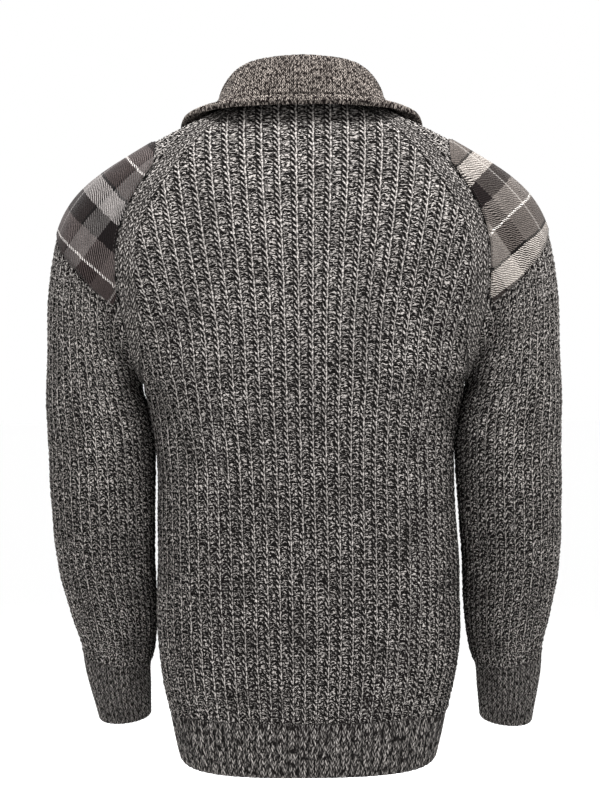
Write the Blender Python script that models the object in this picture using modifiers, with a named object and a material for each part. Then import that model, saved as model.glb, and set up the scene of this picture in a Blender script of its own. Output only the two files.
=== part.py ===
"""Ribbed raglan pullover with a half zip, filled out as it is worn and left hollow.

Metres, +Z up. The front faces -Y and the wearer's left is +X. The origin lies inside the neck,
level with the tops of the shoulders. Every knit wall is measured at the foot of its ribs: the
cloth lies inside that surface and the ribs stand out from it.
"""

import math

import bmesh
import bpy
import numpy as np
from mathutils import Matrix, Vector

COLLECTION = "zip_neck_sweater"
CUTTERS = "zip_neck_sweater_cutters"

# Cloth
WALL = 0.0030
PANEL_LEVELS = np.array([0, 0.14, 0.28, 0.42, 0.56, 0.70, 0.85, 1, 1.17, 1.34, 1.51, 1.68, 1.84, 2])
LINING_LEVELS = np.array([0, 0.33, 0.66, 1, 1.22, 1.44, 1.66, 1.86])
LINING_STEP = 4  # the lining has one column for this many of the outside's
SLEEVE_LEVELS = np.array([0, 0.07, 0.25, 0.45, 0.65, 0.85, 1, 1.15, 1.28, 1.38, 1.47, 1.56, 1.66, 1.78, 1.90])
SLEEVE_LINING_LEVELS = np.array([0, 0.10, 0.4, 0.7, 1, 1.25, 1.5, 1.75])
RIB_HEIGHT = 0.0018
BAND_RIB_HEIGHT = 0.0012
SEAM_GAP = 0.0002  # kept on each side of a seam
TORSO_RIBS = 18  # from the centre line to a side seam
SLEEVE_RIBS = 34
RIB_FADE = 0.030  # the ribs sink over this length before a seam

# Levels
HEM_SEAM_Z = -0.636
HEM_EDGE_Z = -0.674
HEM_BACK_DROP = 0.020
WAIST_ROW_Z = -0.310
UNDERARM_Z = -0.275
BICEPS_Z = -0.300
CUFF_SEAM_Z = -0.580
CUFF_EDGE_Z = -0.650

# The neck seam lies in one sloping plane
NECK_Z = 0.003
NECK_SLOPE = 0.32
NECK_SEAM_X = 0.080
NECK_SEAM_Y = 0.046
NECK_SIDE_X = 0.098

SECTION_POWER = 2.4
SECTION_OPENS = 0.060  # height over which a section's sharp side turns into a slope
NECK_STRETCH = 0.32  # ribs are this much wider at the neck than at the underarm
SLEEVE_NECK_RIBS = 6
UNDERARM_HEADING = np.array([-0.30, 0.0, 0.95])  # the way the sleeve's inner side runs up to the underarm
NECK_HEADING = np.array([-0.90, 0.0, 0.44])  # and the way its top runs up to the neck
CAP_LEAN = 0.012
NEAR = 0.012  # how far from a seam the cloth's direction is read
CAP_WEIGHTS = np.exp(-np.linspace(-2, 2, 13) ** 2)
CAP_WEIGHTS = CAP_WEIGHTS / CAP_WEIGHTS.sum()

# Zip: a slit in the front, closed up to the slider and spread open above it
SLIT_BOTTOM_Z = -0.212
SLIT_HALF = 0.0045
SLIDER_Z = -0.094
NECK_SPREAD = 0.016
TAPE_INSET = 0.0035  # the tape's edge lies this far inside the slit's
TAPE_OVERLAP = 0.0090  # and it runs this far behind the panel
TAPE_BEHIND = 0.0008
TAPE_THICKNESS = 0.0012
TAPE_BOTTOM_Z = -0.218
TAPE_TOP_Z = -0.030
METAL_GAP = 0.0003
SLIDER_WIDTH = 0.0078
SLIDER_LENGTH = 0.0125
SLIDER_DEPTH = 0.0058
SLIDER_BACK = 0.0012
ARCH_WIDTH = 0.0016
ARCH_LENGTH = 0.0080
ARCH_RISE = 0.0043
ARCH_THICKNESS = 0.0009
PULL_AXIS_UP = 0.0005
PULL_AXIS_OUT = 0.0017
PULL_WIDTH = 0.0056
PULL_LENGTH = 0.0240
PULL_THICKNESS = 0.0012
PULL_WINDOW = (0.0030, 0.0054)
STOP_SIZE = (0.0050, 0.0024, 0.0030)
STOP_Z = -0.206


def table(names, *rows):
    """Columns of a small table by name."""
    return dict(zip(names.split(), np.array(rows, float).T))


# Torso below the underarm, and the depth of its centre line all the way up
TORSO = table(
    "z half_width sway",
    (-0.700, 0.1300, -0.0010),
    (-0.680, 0.1370, -0.0012),
    (-0.655, 0.1450, -0.0015),
    (-0.636, 0.1500, -0.0018),
    (-0.600, 0.1580, -0.0024),
    (-0.550, 0.1640, -0.0030),
    (-0.500, 0.1640, -0.0028),
    (-0.440, 0.1620, -0.0022),
    (-0.390, 0.1605, -0.0014),
    (-0.350, 0.1615, -0.0006),
    (-0.310, 0.1675, 0.0000),
    (-0.275, 0.1760, 0.0000),
)
BACK = table(
    "z depth",
    (-0.700, 0.0960),
    (-0.636, 0.1030),
    (-0.580, 0.1090),
    (-0.500, 0.1140),
    (-0.420, 0.1190),
    (-0.340, 0.1250),
    (-0.260, 0.1300),
    (-0.190, 0.1290),
    (-0.130, 0.1230),
    (-0.080, 0.1130),
    (-0.040, 0.1010),
    (-0.010, 0.0880),
    (0.020, 0.0690),
    (0.040, 0.0560),
)
FRONT = table(
    "z depth",
    (-0.700, 0.0980),
    (-0.636, 0.1050),
    (-0.560, 0.1120),
    (-0.480, 0.1180),
    (-0.400, 0.1230),
    (-0.320, 0.1290),
    (-0.240, 0.1330),
    (-0.170, 0.1310),
    (-0.110, 0.1240),
    (-0.060, 0.1110),
    (-0.020, 0.0900),
    (0.010, 0.0700),
)

# Raglan seams, from the underarm to the neck, where the neck plane gives the height
BACK_SEAM = (
    (-0.275, 0.1760, 0.000),
    (-0.262, 0.1800, 0.031),
    (-0.235, 0.1870, 0.060),
    (-0.200, 0.1930, 0.079),
    (-0.158, 0.1955, 0.090),
    (-0.122, 0.1930, 0.092),
    (-0.092, 0.1830, 0.089),
    (-0.054, 0.1600, 0.081),
    (-0.014, 0.1270, 0.068),
    (0.006, 0.1040, 0.057),
)
FRONT_SEAM = (
    (-0.275, 0.1760, 0.000),
    (-0.262, 0.1790, 0.032),
    (-0.235, 0.1850, 0.062),
    (-0.200, 0.1890, 0.081),
    (-0.158, 0.1890, 0.092),
    (-0.122, 0.1830, 0.095),
    (-0.088, 0.1680, 0.091),
    (-0.055, 0.1430, 0.080),
    (-0.028, 0.1130, 0.064),
)

# Sleeve sections below the underarm: centre, half width across, half depth front to back
SLEEVE = table(
    "z x y half_width half_depth",
    (-0.660, 0.2125, -0.046, 0.0270, 0.0300),
    (-0.638, 0.2143, -0.043, 0.0295, 0.0320),
    (-0.616, 0.2160, -0.040, 0.0325, 0.0345),
    (-0.586, 0.2178, -0.034, 0.0360, 0.0375),
    (-0.561, 0.2153, -0.029, 0.0403, 0.0440),
    (-0.517, 0.2185, -0.020, 0.0475, 0.0520),
    (-0.462, 0.2232, -0.009, 0.0528, 0.0585),
    (-0.407, 0.2232, 0.000, 0.0550, 0.0625),
    (-0.363, 0.2232, 0.004, 0.0555, 0.0645),
    (-0.330, 0.2246, 0.006, 0.0548, 0.0660),
    (-0.300, 0.2280, 0.006, 0.0520, 0.0675),
)
# How each sleeve hangs: +1 is the wearer's left, the cuff swung out and let down
HANG = {"left": (1, -0.010, 0.000), "right": (-1, 0.010, 0.006)}

# Collar, by the angle round the neck from the centre back
COLLAR = table(
    "angle fold_out fold_up edge_out edge_up",
    (0, 0.003, 0.045, 0.025, -0.010),
    (30, 0.000, 0.040, 0.029, -0.009),
    (60, -0.006, 0.030, 0.032, -0.005),
    (90, -0.008, 0.020, 0.035, -0.003),
    (120, 0.000, 0.017, 0.042, -0.014),
    (150, 0.002, 0.014, 0.044, -0.036),
    (170, 0.003, 0.012, 0.042, -0.050),
)
COLLAR_END = 171
COLLAR_WALL = 0.0032
COLLAR_PLACES = np.array([0, 0.12, 0.26, 0.36, 0.42, 0.48, 0.54, 0.60, 0.70, 0.82, 0.92, 1])
COLLAR_BEAD = 0.0022  # the rolled edge is thicker than the wall by this much on each face
COLLAR_FOLD = 0.0060

# Patch: an edge that falls from the top of the sleeve towards both raglan seams
PATCH_TOP_X = 0.156
PATCH_LOW_Z = -0.105
PATCH_FALL = 0.0073  # for each rib away from the sleeve's middle
PATCH_SINKS_RIBS = 0.35
PATCH_SINK_MARGIN = 0.030  # the ribs start to sink this far below the patch
PATCH_LIFT = 0.0015
PATCH_THICKNESS = 0.0016
PATCH_MARGIN = 0.004
PATCH_FIRST_RIB = 3
PATCH_NARROWEST = 0.008
PATCH_COLUMNS = 17
PATCH_ROWS = 15


# ---------------------------------------------------------------- curves and sections


def smooth(x, y, at):
    """A smooth curve through the rows (x, y) of a table, held at its ends."""
    step = np.diff(x)
    rise = np.diff(y) / step
    slope = np.empty(len(x))
    slope[1:-1] = (step[1:] * rise[:-1] + step[:-1] * rise[1:]) / (step[1:] + step[:-1])
    slope[0] = rise[0]
    slope[-1] = rise[-1]
    i = np.clip(np.searchsorted(x, at) - 1, 0, len(x) - 2)
    t = np.clip((at - x[i]) / step[i], 0, 1)
    twist = t * (1 - t) * ((1 - t) * (slope[i] - rise[i]) - t * (slope[i + 1] - rise[i]))
    return y[i] + t * (y[i + 1] - y[i]) + step[i] * twist


def ease(t):
    """0 to 1 with level ends."""
    t = np.clip(t, 0, 1)
    return t * t * (3 - 2 * t)


def unit(v):
    return v / np.maximum(np.linalg.norm(v, axis=-1, keepdims=True), 1e-12)


def neck_z(y):
    return NECK_Z + NECK_SLOPE * y


def seam_rows(rows, side):
    """A raglan seam's table with its end put on the neck plane. q runs along the seam."""
    end = (neck_z(side * NECK_SEAM_Y), NECK_SEAM_X, NECK_SEAM_Y)
    z, x, y = np.array([*rows, end]).T
    q = np.sqrt((z - UNDERARM_Z) / (z[-1] - UNDERARM_Z))
    return {"q": q, "x": x, "y": y, "top": z[-1]}


SIDES = {1: (BACK, seam_rows(BACK_SEAM, 1)), -1: (FRONT, seam_rows(FRONT_SEAM, -1))}


def seam_xy(side, z):
    seam = SIDES[side][1]
    q = np.sqrt(np.clip((z - UNDERARM_Z) / (seam["top"] - UNDERARM_Z), 0, 1))
    return smooth(seam["q"], seam["x"], q), smooth(seam["q"], seam["y"], q)


def half_section(side, z):
    """Half of the torso's level section at each z, from the centre line out, and its lengths."""
    depth = smooth(SIDES[side][0]["z"], SIDES[side][0]["depth"], z)
    above = z > UNDERARM_Z
    edge_x, edge_y = seam_xy(side, z)
    edge_x = np.where(above, edge_x, smooth(TORSO["z"], TORSO["half_width"], z))
    edge_y = np.where(above, edge_y, 0.0)
    opens = ease((z - UNDERARM_Z) / SECTION_OPENS)
    power = 2 / SECTION_POWER
    turn = np.linspace(0, math.pi / 2, 120)
    x = edge_x[..., None] * np.sin(turn) ** power
    fall = np.clip(np.cos(turn), 0, 1) ** (power + (2 - power) * opens[..., None])
    y = edge_y[..., None] + (depth - edge_y)[..., None] * fall
    steps = np.hypot(np.diff(x), np.diff(y))
    length = np.concatenate([np.zeros((*z.shape, 1)), np.cumsum(steps, axis=-1)], axis=-1)
    return x, y, length


def at_length(values, length, s):
    """values at the distance s along each curve."""
    i = np.clip((length < s[..., None]).sum(-1) - 1, 0, length.shape[-1] - 2)[..., None]
    low = np.take_along_axis(length, i, -1)[..., 0]
    high = np.take_along_axis(length, i + 1, -1)[..., 0]
    t = np.clip((s - low) / np.maximum(high - low, 1e-12), 0, 1)
    a = np.take_along_axis(values, i, -1)[..., 0]
    b = np.take_along_axis(values, i + 1, -1)[..., 0]
    return a + t * (b - a)


def rib_pitch(z, half_length, underarm_length):
    grown = 1 + NECK_STRETCH * ease((z - UNDERARM_Z) / (-UNDERARM_Z))
    return np.where(z > UNDERARM_Z, underarm_length * grown, half_length) / TORSO_RIBS


def torso_point(side, rib, z):
    """The point at height z on rib line number rib, counted from the centre line."""
    x, y, length = half_section(side, z)
    underarm = half_section(side, np.array([UNDERARM_Z]))[2][0, -1]
    pitch = rib_pitch(z, length[..., -1], underarm)
    s = np.minimum(np.abs(rib) * pitch, length[..., -1])
    sway = smooth(TORSO["z"], TORSO["sway"], z)
    across = at_length(x, length, s) * np.sign(rib) + sway
    return np.stack([across, side * at_length(y, length, s), z], axis=-1)


def seam_ribs(side, z):
    """How many ribs lie between the centre line and the raglan seam at height z."""
    length = half_section(side, z)[2][..., -1]
    underarm = half_section(side, np.array([UNDERARM_Z]))[2][0, -1]
    return length / rib_pitch(z, length, underarm)


def column_tops(side, ribs):
    """The height where each rib line ends, at the raglan seam or at the neck seam."""
    ribs = np.abs(ribs)
    top = SIDES[side][1]["top"]
    z = UNDERARM_Z + (top - UNDERARM_Z) * np.linspace(0, 1, 400) ** 2
    count = np.minimum.accumulate(seam_ribs(side, z))
    ends = np.interp(-ribs, -count, z)
    neck = np.full(len(ribs), top)
    for _ in range(40):
        neck = neck_z(torso_point(side, np.maximum(ribs, 1e-6), neck)[:, 1])
    return np.where(ribs < count[-1], neck, ends)


def torso_columns(side, ribs, levels):
    """Curves up the torso. Levels run from 0 at the hem seam to 1, and to 2 at the upper end."""
    top = column_tops(side, ribs)[:, None]
    low = HEM_SEAM_Z + (WAIST_ROW_Z - HEM_SEAM_Z) * np.minimum(levels, 1)
    z = low + (top - WAIST_ROW_Z) * np.maximum(levels - 1, 0)
    return torso_point(side, np.repeat(ribs[:, None], len(levels), axis=1), z)


def seam_line(side, count=400):
    """The raglan seam of the wearer's left, from the underarm up, and its lengths."""
    top = SIDES[side][1]["top"]
    z = UNDERARM_Z + (top - UNDERARM_Z) * np.linspace(0, 1, count) ** 2
    x, y = seam_xy(side, z)
    line = np.stack([x, side * y, z], axis=-1)
    steps = np.linalg.norm(np.diff(line, axis=0), axis=1)
    return line, np.concatenate([[0], np.cumsum(steps)])


def along_line(line, length, at):
    """Points at the distances at along a line, held at its ends."""
    return np.stack([np.interp(at, length, line[:, k]) for k in range(3)], axis=-1)


def sleeve_ring(z, turn):
    """A sleeve's outer point below the biceps. turn is 0 at the inner side, a quarter at the back."""
    def centre(at):
        return np.stack([smooth(SLEEVE["z"], SLEEVE[k], at) for k in "xy"] + [at], axis=-1)

    up = unit(centre(z + 0.004) - centre(z - 0.004))
    out = unit(np.array([1.0, 0, 0]) - up * up[..., :1])
    back = np.cross(up, out)
    width = smooth(SLEEVE["z"], SLEEVE["half_width"], z)[..., None]
    depth = smooth(SLEEVE["z"], SLEEVE["half_depth"], z)[..., None]
    angle = (2 * math.pi * turn)[..., None]
    return centre(z) - width * np.cos(angle) * out + depth * np.sin(angle) * back


def seam_end(side, share):
    """Points at a share of a raglan seam's length, and the way the sleeve arrives there."""
    line, length = seam_line(side)
    s = np.clip(share, 0, 1) * length[-1]
    here, ahead, behind = (along_line(line, length, at) for at in (s, s + NEAR / 3, s - NEAR / 3))
    x, y, lengths = half_section(side, here[:, 2])
    inner = lengths[:, -1] - NEAR
    across, depth = at_length(x, lengths, inner), at_length(y, lengths, inner)
    inside = np.stack([across, side * depth, here[:, 2]], axis=-1)
    return here, unit(unit(inside - here) + 1.1 * unit(ahead - behind))


def armhole(columns):
    """Where each sleeve column meets the armhole loop, and the direction it arrives in."""
    half = SLEEVE_RIBS / 2
    on_seam = half - SLEEVE_NECK_RIBS / 2
    columns = columns % SLEEVE_RIBS
    from_underarm = np.minimum(columns, SLEEVE_RIBS - columns)
    place = ((half - columns) / (SLEEVE_NECK_RIBS / 2))[:, None]
    y = NECK_SEAM_Y * place
    points = np.concatenate([NECK_SIDE_X - (NECK_SIDE_X - NECK_SEAM_X) * place**2, y, neck_z(y)], axis=1)
    heading = np.zeros_like(points)
    for side in (1, -1):
        seam_points, seam_heading = seam_end(side, from_underarm / on_seam)
        ours = (columns <= half) == (side > 0)
        on_side = ours & (from_underarm < on_seam)
        points[on_side] = seam_points[on_side]
        heading[ours] = seam_heading[ours]
    low = ease(from_underarm / 4.0)[:, None]
    high = ease((from_underarm - on_seam + 5) / 5.0)[:, None]
    heading = (1 - low) * unit(UNDERARM_HEADING) + low * heading
    return points, unit((1 - high) * heading + high * unit(NECK_HEADING))


def cap_controls(columns):
    """The two middle control points of each curve over the sleeve head."""
    turn = columns / SLEEVE_RIBS
    level = np.full(len(turn), BICEPS_Z)
    first = sleeve_ring(level, turn)
    rise = unit(first - sleeve_ring(level - 0.01, turn))
    last, heading = armhole(columns)
    reach = np.linalg.norm(last - first, axis=1, keepdims=True)
    top = (0.5 - 0.5 * np.cos(2 * math.pi * turn))[:, None] ** 2
    second = first + rise * reach * (0.34 + 0.37 * top) - top * [CAP_LEAN, 0, 0]
    return second, last - heading * reach * (0.34 + 0.21 * top)


def sleeve_columns(columns, levels):
    """Curves up the left sleeve: 0 is the cuff seam, 1 the biceps and 2 the armhole loop."""
    turn = columns / SLEEVE_RIBS
    low = CUFF_SEAM_Z + (BICEPS_Z - CUFF_SEAM_Z) * np.minimum(levels, 1)
    rings = sleeve_ring(low[None, :] + 0 * turn[:, None], turn[:, None] + 0 * low[None, :])
    first = sleeve_ring(np.full(len(turn), BICEPS_Z), turn)
    last = armhole(columns)[0]
    # The middle points are averaged over some ribs each way, so that no crease runs from the neck's corners
    second = 0
    third = 0
    for away, weight in zip(np.arange(-3, 3.5, 0.5), CAP_WEIGHTS):
        near = cap_controls(columns + away)
        second = second + weight * near[0]
        third = third + weight * near[1]
    t = np.maximum(levels - 1, 0)[None, :, None]
    nodes = [p[:, None, :] for p in (first, second, third, last)]
    weights = ((1 - t) ** 3, 3 * t * (1 - t) ** 2, 3 * t * t * (1 - t), t**3)
    cap = sum(w * p for w, p in zip(weights, nodes))
    return np.where(levels[None, :, None] > 1, cap, rings)


def hang(points, hand):
    """The left sleeve's points moved to where one sleeve hangs."""
    mirror, out, down = HANG[hand]
    share = np.clip((BICEPS_Z - points[..., 2]) / (BICEPS_Z - CUFF_EDGE_Z), 0, 1.2) ** 1.5
    moved = points + share[..., None] * np.array([out, 0, -down])
    return moved * np.array([mirror, 1, 1])


def normals(points, closed=False):
    """Unit normals of a grid of points, by the way its columns and levels run."""
    if closed:
        across = np.roll(points, -1, axis=0) - np.roll(points, 1, axis=0)
    else:
        across = np.gradient(points, axis=0)
    return unit(np.cross(across, np.gradient(points, axis=1)))


# ---------------------------------------------------------------- meshes


class Cloth:
    """Collects the points and faces of one wall."""

    def __init__(self):
        self.points = []
        self.faces = []

    def add(self, grid):
        grid = np.asarray(grid, float)
        start = len(self.points)
        self.points.extend(grid.reshape(-1, 3).tolist())
        return np.arange(start, len(self.points)).reshape(grid.shape[:-1])

    def quads(self, index, closed=False):
        if closed:
            index = np.concatenate([index, index[:1]])
        for a, b in zip(index[:-1], index[1:]):
            for k in range(len(a) - 1):
                self.faces.append((a[k], b[k], b[k + 1], a[k + 1]))

    def bridge(self, first, second):
        """Triangles between two rows of points that may differ in number."""
        places = []
        for row in (first, second):
            line = np.array([self.points[k] for k in row])
            length = np.concatenate([[0], np.cumsum(np.linalg.norm(np.diff(line, axis=0), axis=1))])
            places.append(length / max(length[-1], 1e-12))
        i = j = 0
        while i < len(first) - 1 or j < len(second) - 1:
            next_i = places[0][i + 1] if i < len(first) - 1 else 9.0
            next_j = places[1][j + 1] if j < len(second) - 1 else 9.0
            if next_i <= next_j:
                self.faces.append((first[i], first[i + 1], second[j]))
                i += 1
            else:
                self.faces.append((first[i], second[j + 1], second[j]))
                j += 1

    def sheet(self, front, back):
        """A wall between two grids of one size, closed along its four edges."""
        near = self.add(front)
        far = self.add(back)
        self.quads(near)
        self.quads(far)
        for end in (0, -1):
            self.quads(np.stack((near[end], far[end]), axis=1))
            self.quads(np.stack((near[:, end], far[:, end]), axis=1))

    def rim(self, outer, inner):
        """The edge of a wall. Each diagonal starts from the higher outer point, on both sides of a seam."""
        for k in range(len(outer) - 1):
            a, b = k, k + 1
            if self.points[outer[a]][2] > self.points[outer[b]][2]:
                a, b = b, a
            self.faces.append((outer[a], outer[b], inner[a]))
            self.faces.append((outer[b], inner[b], inner[a]))

    def build(self, name, material):
        mesh = bpy.data.meshes.new(name)
        faces = [tuple(dict.fromkeys(int(k) for k in face)) for face in self.faces]
        mesh.from_pydata(self.points, [], [face for face in faces if len(face) > 2])
        work = bmesh.new()
        work.from_mesh(mesh)
        loose = [v for v in work.verts if not v.link_faces]
        bmesh.ops.delete(work, geom=loose, context="VERTS")
        bmesh.ops.triangulate(work, faces=work.faces[:])
        bmesh.ops.recalc_face_normals(work, faces=work.faces[:])
        work.to_mesh(mesh)
        work.free()
        return place(name, mesh, material)


def place(name, mesh, material):
    obj = bpy.data.objects.new(name, mesh)
    bpy.data.collections[COLLECTION].objects.link(obj)
    obj.data.materials.append(material)
    obj.data.shade_smooth()
    obj.data.set_sharp_from_angle(angle=math.radians(40))
    return obj


def finish(name, color, roughness, metallic=0.0):
    material = bpy.data.materials.new(name)
    material.use_nodes = True
    shader = material.node_tree.nodes["Principled BSDF"]
    shader.inputs["Base Color"].default_value = (*color, 1)
    shader.inputs["Roughness"].default_value = roughness
    shader.inputs["Metallic"].default_value = metallic
    return material


def ribbed(points, out, position, height):
    """Points moved out along their normals, most half way between whole rib numbers."""
    crest = 0.5 - 0.5 * np.cos(2 * math.pi * position)
    return points + out * (crest * height)[..., None]


# ---------------------------------------------------------------- seams shared by the panels


def seam_frames(side, ribs):
    """Points on a raglan seam, the way across it to the torso, and the way out of the cloth."""
    z = column_tops(side, ribs)
    x, y = seam_xy(side, z)
    points = np.stack([x, side * y, z], axis=-1)
    line, length = seam_line(side)
    s = np.interp(z, line[:, 2], length)
    along = unit(along_line(line, length, s + NEAR / 3) - along_line(line, length, s - NEAR / 3))
    below = torso_point(side, ribs, z - NEAR)
    x, y, lengths = half_section(side, z)
    inner = lengths[..., -1] - NEAR
    inside = np.stack([at_length(x, lengths, inner), side * at_length(y, lengths, inner), z], axis=-1)
    torso_way = unit(unit(below - points) + unit(inside - points))
    on_seam = SLEEVE_RIBS / 2 - SLEEVE_NECK_RIBS / 2
    column = s / length[-1] * on_seam
    if side < 0:
        column = SLEEVE_RIBS - column
    near = sleeve_columns(column, np.array([1.9]))[:, 0]
    sleeve_way = unit(near - points)
    across = torso_way - sleeve_way
    across = unit(across - along * (across * along).sum(-1, keepdims=True))
    out = np.cross(across, along) * side
    return points, across, unit(out), column


def plane_normals(points):
    """The way out from the neck within its plane, at points of the neck seam."""
    plane = unit(np.array([0, -NECK_SLOPE, 1.0]))
    middle = np.array([0, -0.010, neck_z(-0.010)])
    away = points - middle
    away = away - plane * (away @ plane)[:, None]
    return unit(away), plane


def onto_neck(points, lift):
    """Points moved straight up or down to lie lift above the neck plane."""
    points = np.array(points)
    points[..., 2] = neck_z(points[..., 1]) + lift * math.hypot(1, NECK_SLOPE)
    return points


def torso_edge(side, ribs):
    """The torso's outer and inner edge along the raglan seams and the neck."""
    outer = torso_columns(side, ribs, np.array([2.0]))[:, 0]
    inner = outer.copy()
    count = seam_ribs(side, np.array([SIDES[side][1]["top"]]))[0]
    on_seam = np.abs(ribs) >= count
    points, across, out, _ = seam_frames(side, np.abs(ribs[on_seam]))
    mirror = np.sign(ribs[on_seam])[:, None] * [1, 0, 0] + [0, 1, 1]
    outer[on_seam] = (points + across * SEAM_GAP) * mirror
    inner[on_seam] = (points + across * SEAM_GAP - out * WALL) * mirror
    away, _ = plane_normals(outer[~on_seam])
    inner[~on_seam] = outer[~on_seam] - away * WALL
    outer[~on_seam] = onto_neck(outer[~on_seam], -SEAM_GAP)
    inner[~on_seam] = onto_neck(inner[~on_seam], -SEAM_GAP)
    return outer, inner


def panel_lining(side, ribs):
    """The plain inner face of the front or the back, on some of its rib lines."""
    inside = torso_columns(side, ribs, LINING_LEVELS)
    way = normals(inside)
    way *= np.sign((way * inside * [1, 1, 0]).sum(-1, keepdims=True))
    return inside - way * WALL


def torso_panel(name, side, material):
    """The front or the back: rib lines that end at the raglan seams and the neck."""
    ribs = np.arange(-TORSO_RIBS, TORSO_RIBS + 0.25, 0.5)
    base = torso_columns(side, ribs, PANEL_LEVELS)
    out = normals(base)
    out *= np.sign((out * base * [1, 1, 0]).sum(-1, keepdims=True))
    fade = ease((column_tops(side, ribs)[:, None] - base[..., 2]) / RIB_FADE)
    numbers = np.repeat(ribs[:, None], len(PANEL_LEVELS), 1)
    outer = ribbed(base, out, numbers, RIB_HEIGHT * fade)
    outer[:, -1], top = torso_edge(side, ribs)
    outer[[0, -1], :, 1] = side * SEAM_GAP
    outer[:, 0, 2] = HEM_SEAM_Z + SEAM_GAP

    inside = panel_lining(side, ribs[::LINING_STEP])
    inside[[0, -1], :, 1] = side * SEAM_GAP
    inside[:, 0, 2] = HEM_SEAM_Z + SEAM_GAP
    top[[0, -1], 1] = side * SEAM_GAP
    outer[[0, -1], -1, 1] = side * SEAM_GAP

    cloth = Cloth()
    face = cloth.add(outer)
    lining = cloth.add(inside)
    edge = cloth.add(top)
    cloth.quads(face)
    cloth.quads(lining)
    cloth.bridge(list(lining[:, -1]), list(edge))
    cloth.rim(face[:, -1], edge)
    cloth.bridge(list(face[:, 0]), list(lining[:, 0]))
    for end in (0, -1):
        cloth.bridge(list(face[end]), [*lining[end], edge[end]])
    return cloth.build(name, material)


def armhole_loop():
    """The sleeve's edge all round: outer and inner points, and the sleeve column of each."""
    parts = []
    for side in (1, -1):
        count = seam_ribs(side, np.array([SIDES[side][1]["top"]]))[0]
        ribs = np.arange(TORSO_RIBS, 0, -0.5)
        ribs = ribs[ribs >= count]
        points, across, out, column = seam_frames(side, ribs)
        outer = points - across * SEAM_GAP
        parts.append((outer, outer - out * WALL, column))
    neck = SLEEVE_RIBS / 2 + SLEEVE_NECK_RIBS / 2 * np.linspace(-1, 1, 9)
    arc = armhole(neck)[0]
    arc[[0, -1], 0] += SEAM_GAP
    away, _ = plane_normals(arc)
    outer = onto_neck(arc, -SEAM_GAP)
    inner = onto_neck(arc - away * WALL, -SEAM_GAP)
    parts.insert(1, (outer, inner, neck))
    back, neck_part, front = parts
    front = tuple(values[::-1] for values in front)
    return [np.concatenate(values) for values in zip(back, neck_part, front)]


def under_patch(points, columns, margin=0.0):
    """Whether the shoulder patch lies over points of the left sleeve. The margin is added below it."""
    edge = PATCH_LOW_Z - margin - PATCH_FALL * np.hypot(columns - SLEEVE_RIBS / 2, 1)[:, None]
    return (points[..., 2] > edge) & (points[..., 0] > PATCH_TOP_X)


def sleeve(name, hand, material):
    columns = np.arange(0, SLEEVE_RIBS, 0.5)
    levels = SLEEVE_LEVELS
    base = sleeve_columns(columns, levels)
    out = -normals(base, closed=True)
    fade = ease((2 - levels) / 0.25) * ease(levels / 0.1 + 0.4)
    covered = under_patch(base, columns, PATCH_SINK_MARGIN)
    height = RIB_HEIGHT * fade[None, :] * np.where(covered, PATCH_SINKS_RIBS, 1.0)
    outer = ribbed(base, out, np.repeat(columns[:, None], len(levels), 1), height)
    inside = sleeve_columns(columns[::LINING_STEP], SLEEVE_LINING_LEVELS)
    inside = inside + normals(inside, closed=True) * WALL
    loop_outer, loop_inner, _ = armhole_loop()

    cloth = Cloth()
    face = cloth.add(hang(outer, hand))
    lining = cloth.add(hang(inside, hand))
    rim = cloth.add(hang(loop_outer, hand))
    edge = cloth.add(hang(loop_inner, hand))
    cloth.quads(face, closed=True)
    cloth.quads(lining, closed=True)
    cloth.bridge([*face[:, -1], face[0, -1]], [*rim[:-1], rim[0]])
    cloth.bridge([*lining[:, -1], lining[0, -1]], [*edge[:-1], edge[0]])
    cloth.rim([*rim[:-1], rim[0]], [*edge[:-1], edge[0]])
    cloth.bridge([*face[:, 0], face[0, 0]], [*lining[:, 0], lining[0, 0]])
    return cloth.build(name, material)


def band(name, ring, inner_ring, rows, material):
    """A ribbed tube from two functions of its height share."""
    outer = np.stack([ring(share) for share in rows], axis=1)
    inside = np.stack([inner_ring(share) for share in (rows[0], 0.5, rows[-1])], axis=1)
    cloth = Cloth()
    face = cloth.add(outer)
    lining = cloth.add(inside)
    cloth.quads(face, closed=True)
    cloth.quads(lining, closed=True)
    for end in (0, -1):
        cloth.bridge([*face[:, end], face[0, end]], [*lining[:, end], lining[0, end]])
    return cloth.build(name, material)


def hem_band(material):
    """The ribbed band under the torso, a little lower at the back."""

    def loop(count, share, inset, height):
        half = count // 2
        ribs = np.linspace(TORSO_RIBS, -TORSO_RIBS, half + 1)[:-1]
        points = []
        for side, numbers in ((1, ribs), (-1, -ribs)):
            z = HEM_SEAM_Z + (HEM_EDGE_Z - HEM_SEAM_Z) * share + 0 * numbers
            points.append(torso_point(side, numbers, z))
        points = np.concatenate(points)
        across = np.roll(points, -1, axis=0) - np.roll(points, 1, axis=0)
        out = unit(np.cross(np.array([0, 0, 1.0]), across))
        out *= np.sign((out * points).sum(-1, keepdims=True))
        crest = 0.5 - 0.5 * np.cos(2 * math.pi * np.concatenate([ribs, -ribs]))
        points = points + out * (crest * height - inset)[:, None]
        drop = HEM_BACK_DROP * share * ease(0.5 + points[:, 1] / 0.2)
        points[:, 2] -= drop + SEAM_GAP * (1 - share)
        return points

    return band(
        "hem_band",
        lambda share: loop(8 * TORSO_RIBS, share, 0, BAND_RIB_HEIGHT),
        lambda share: loop(2 * TORSO_RIBS, share, WALL, 0),
        (0, 0.3, 0.7, 1),
        material,
    )


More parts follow.
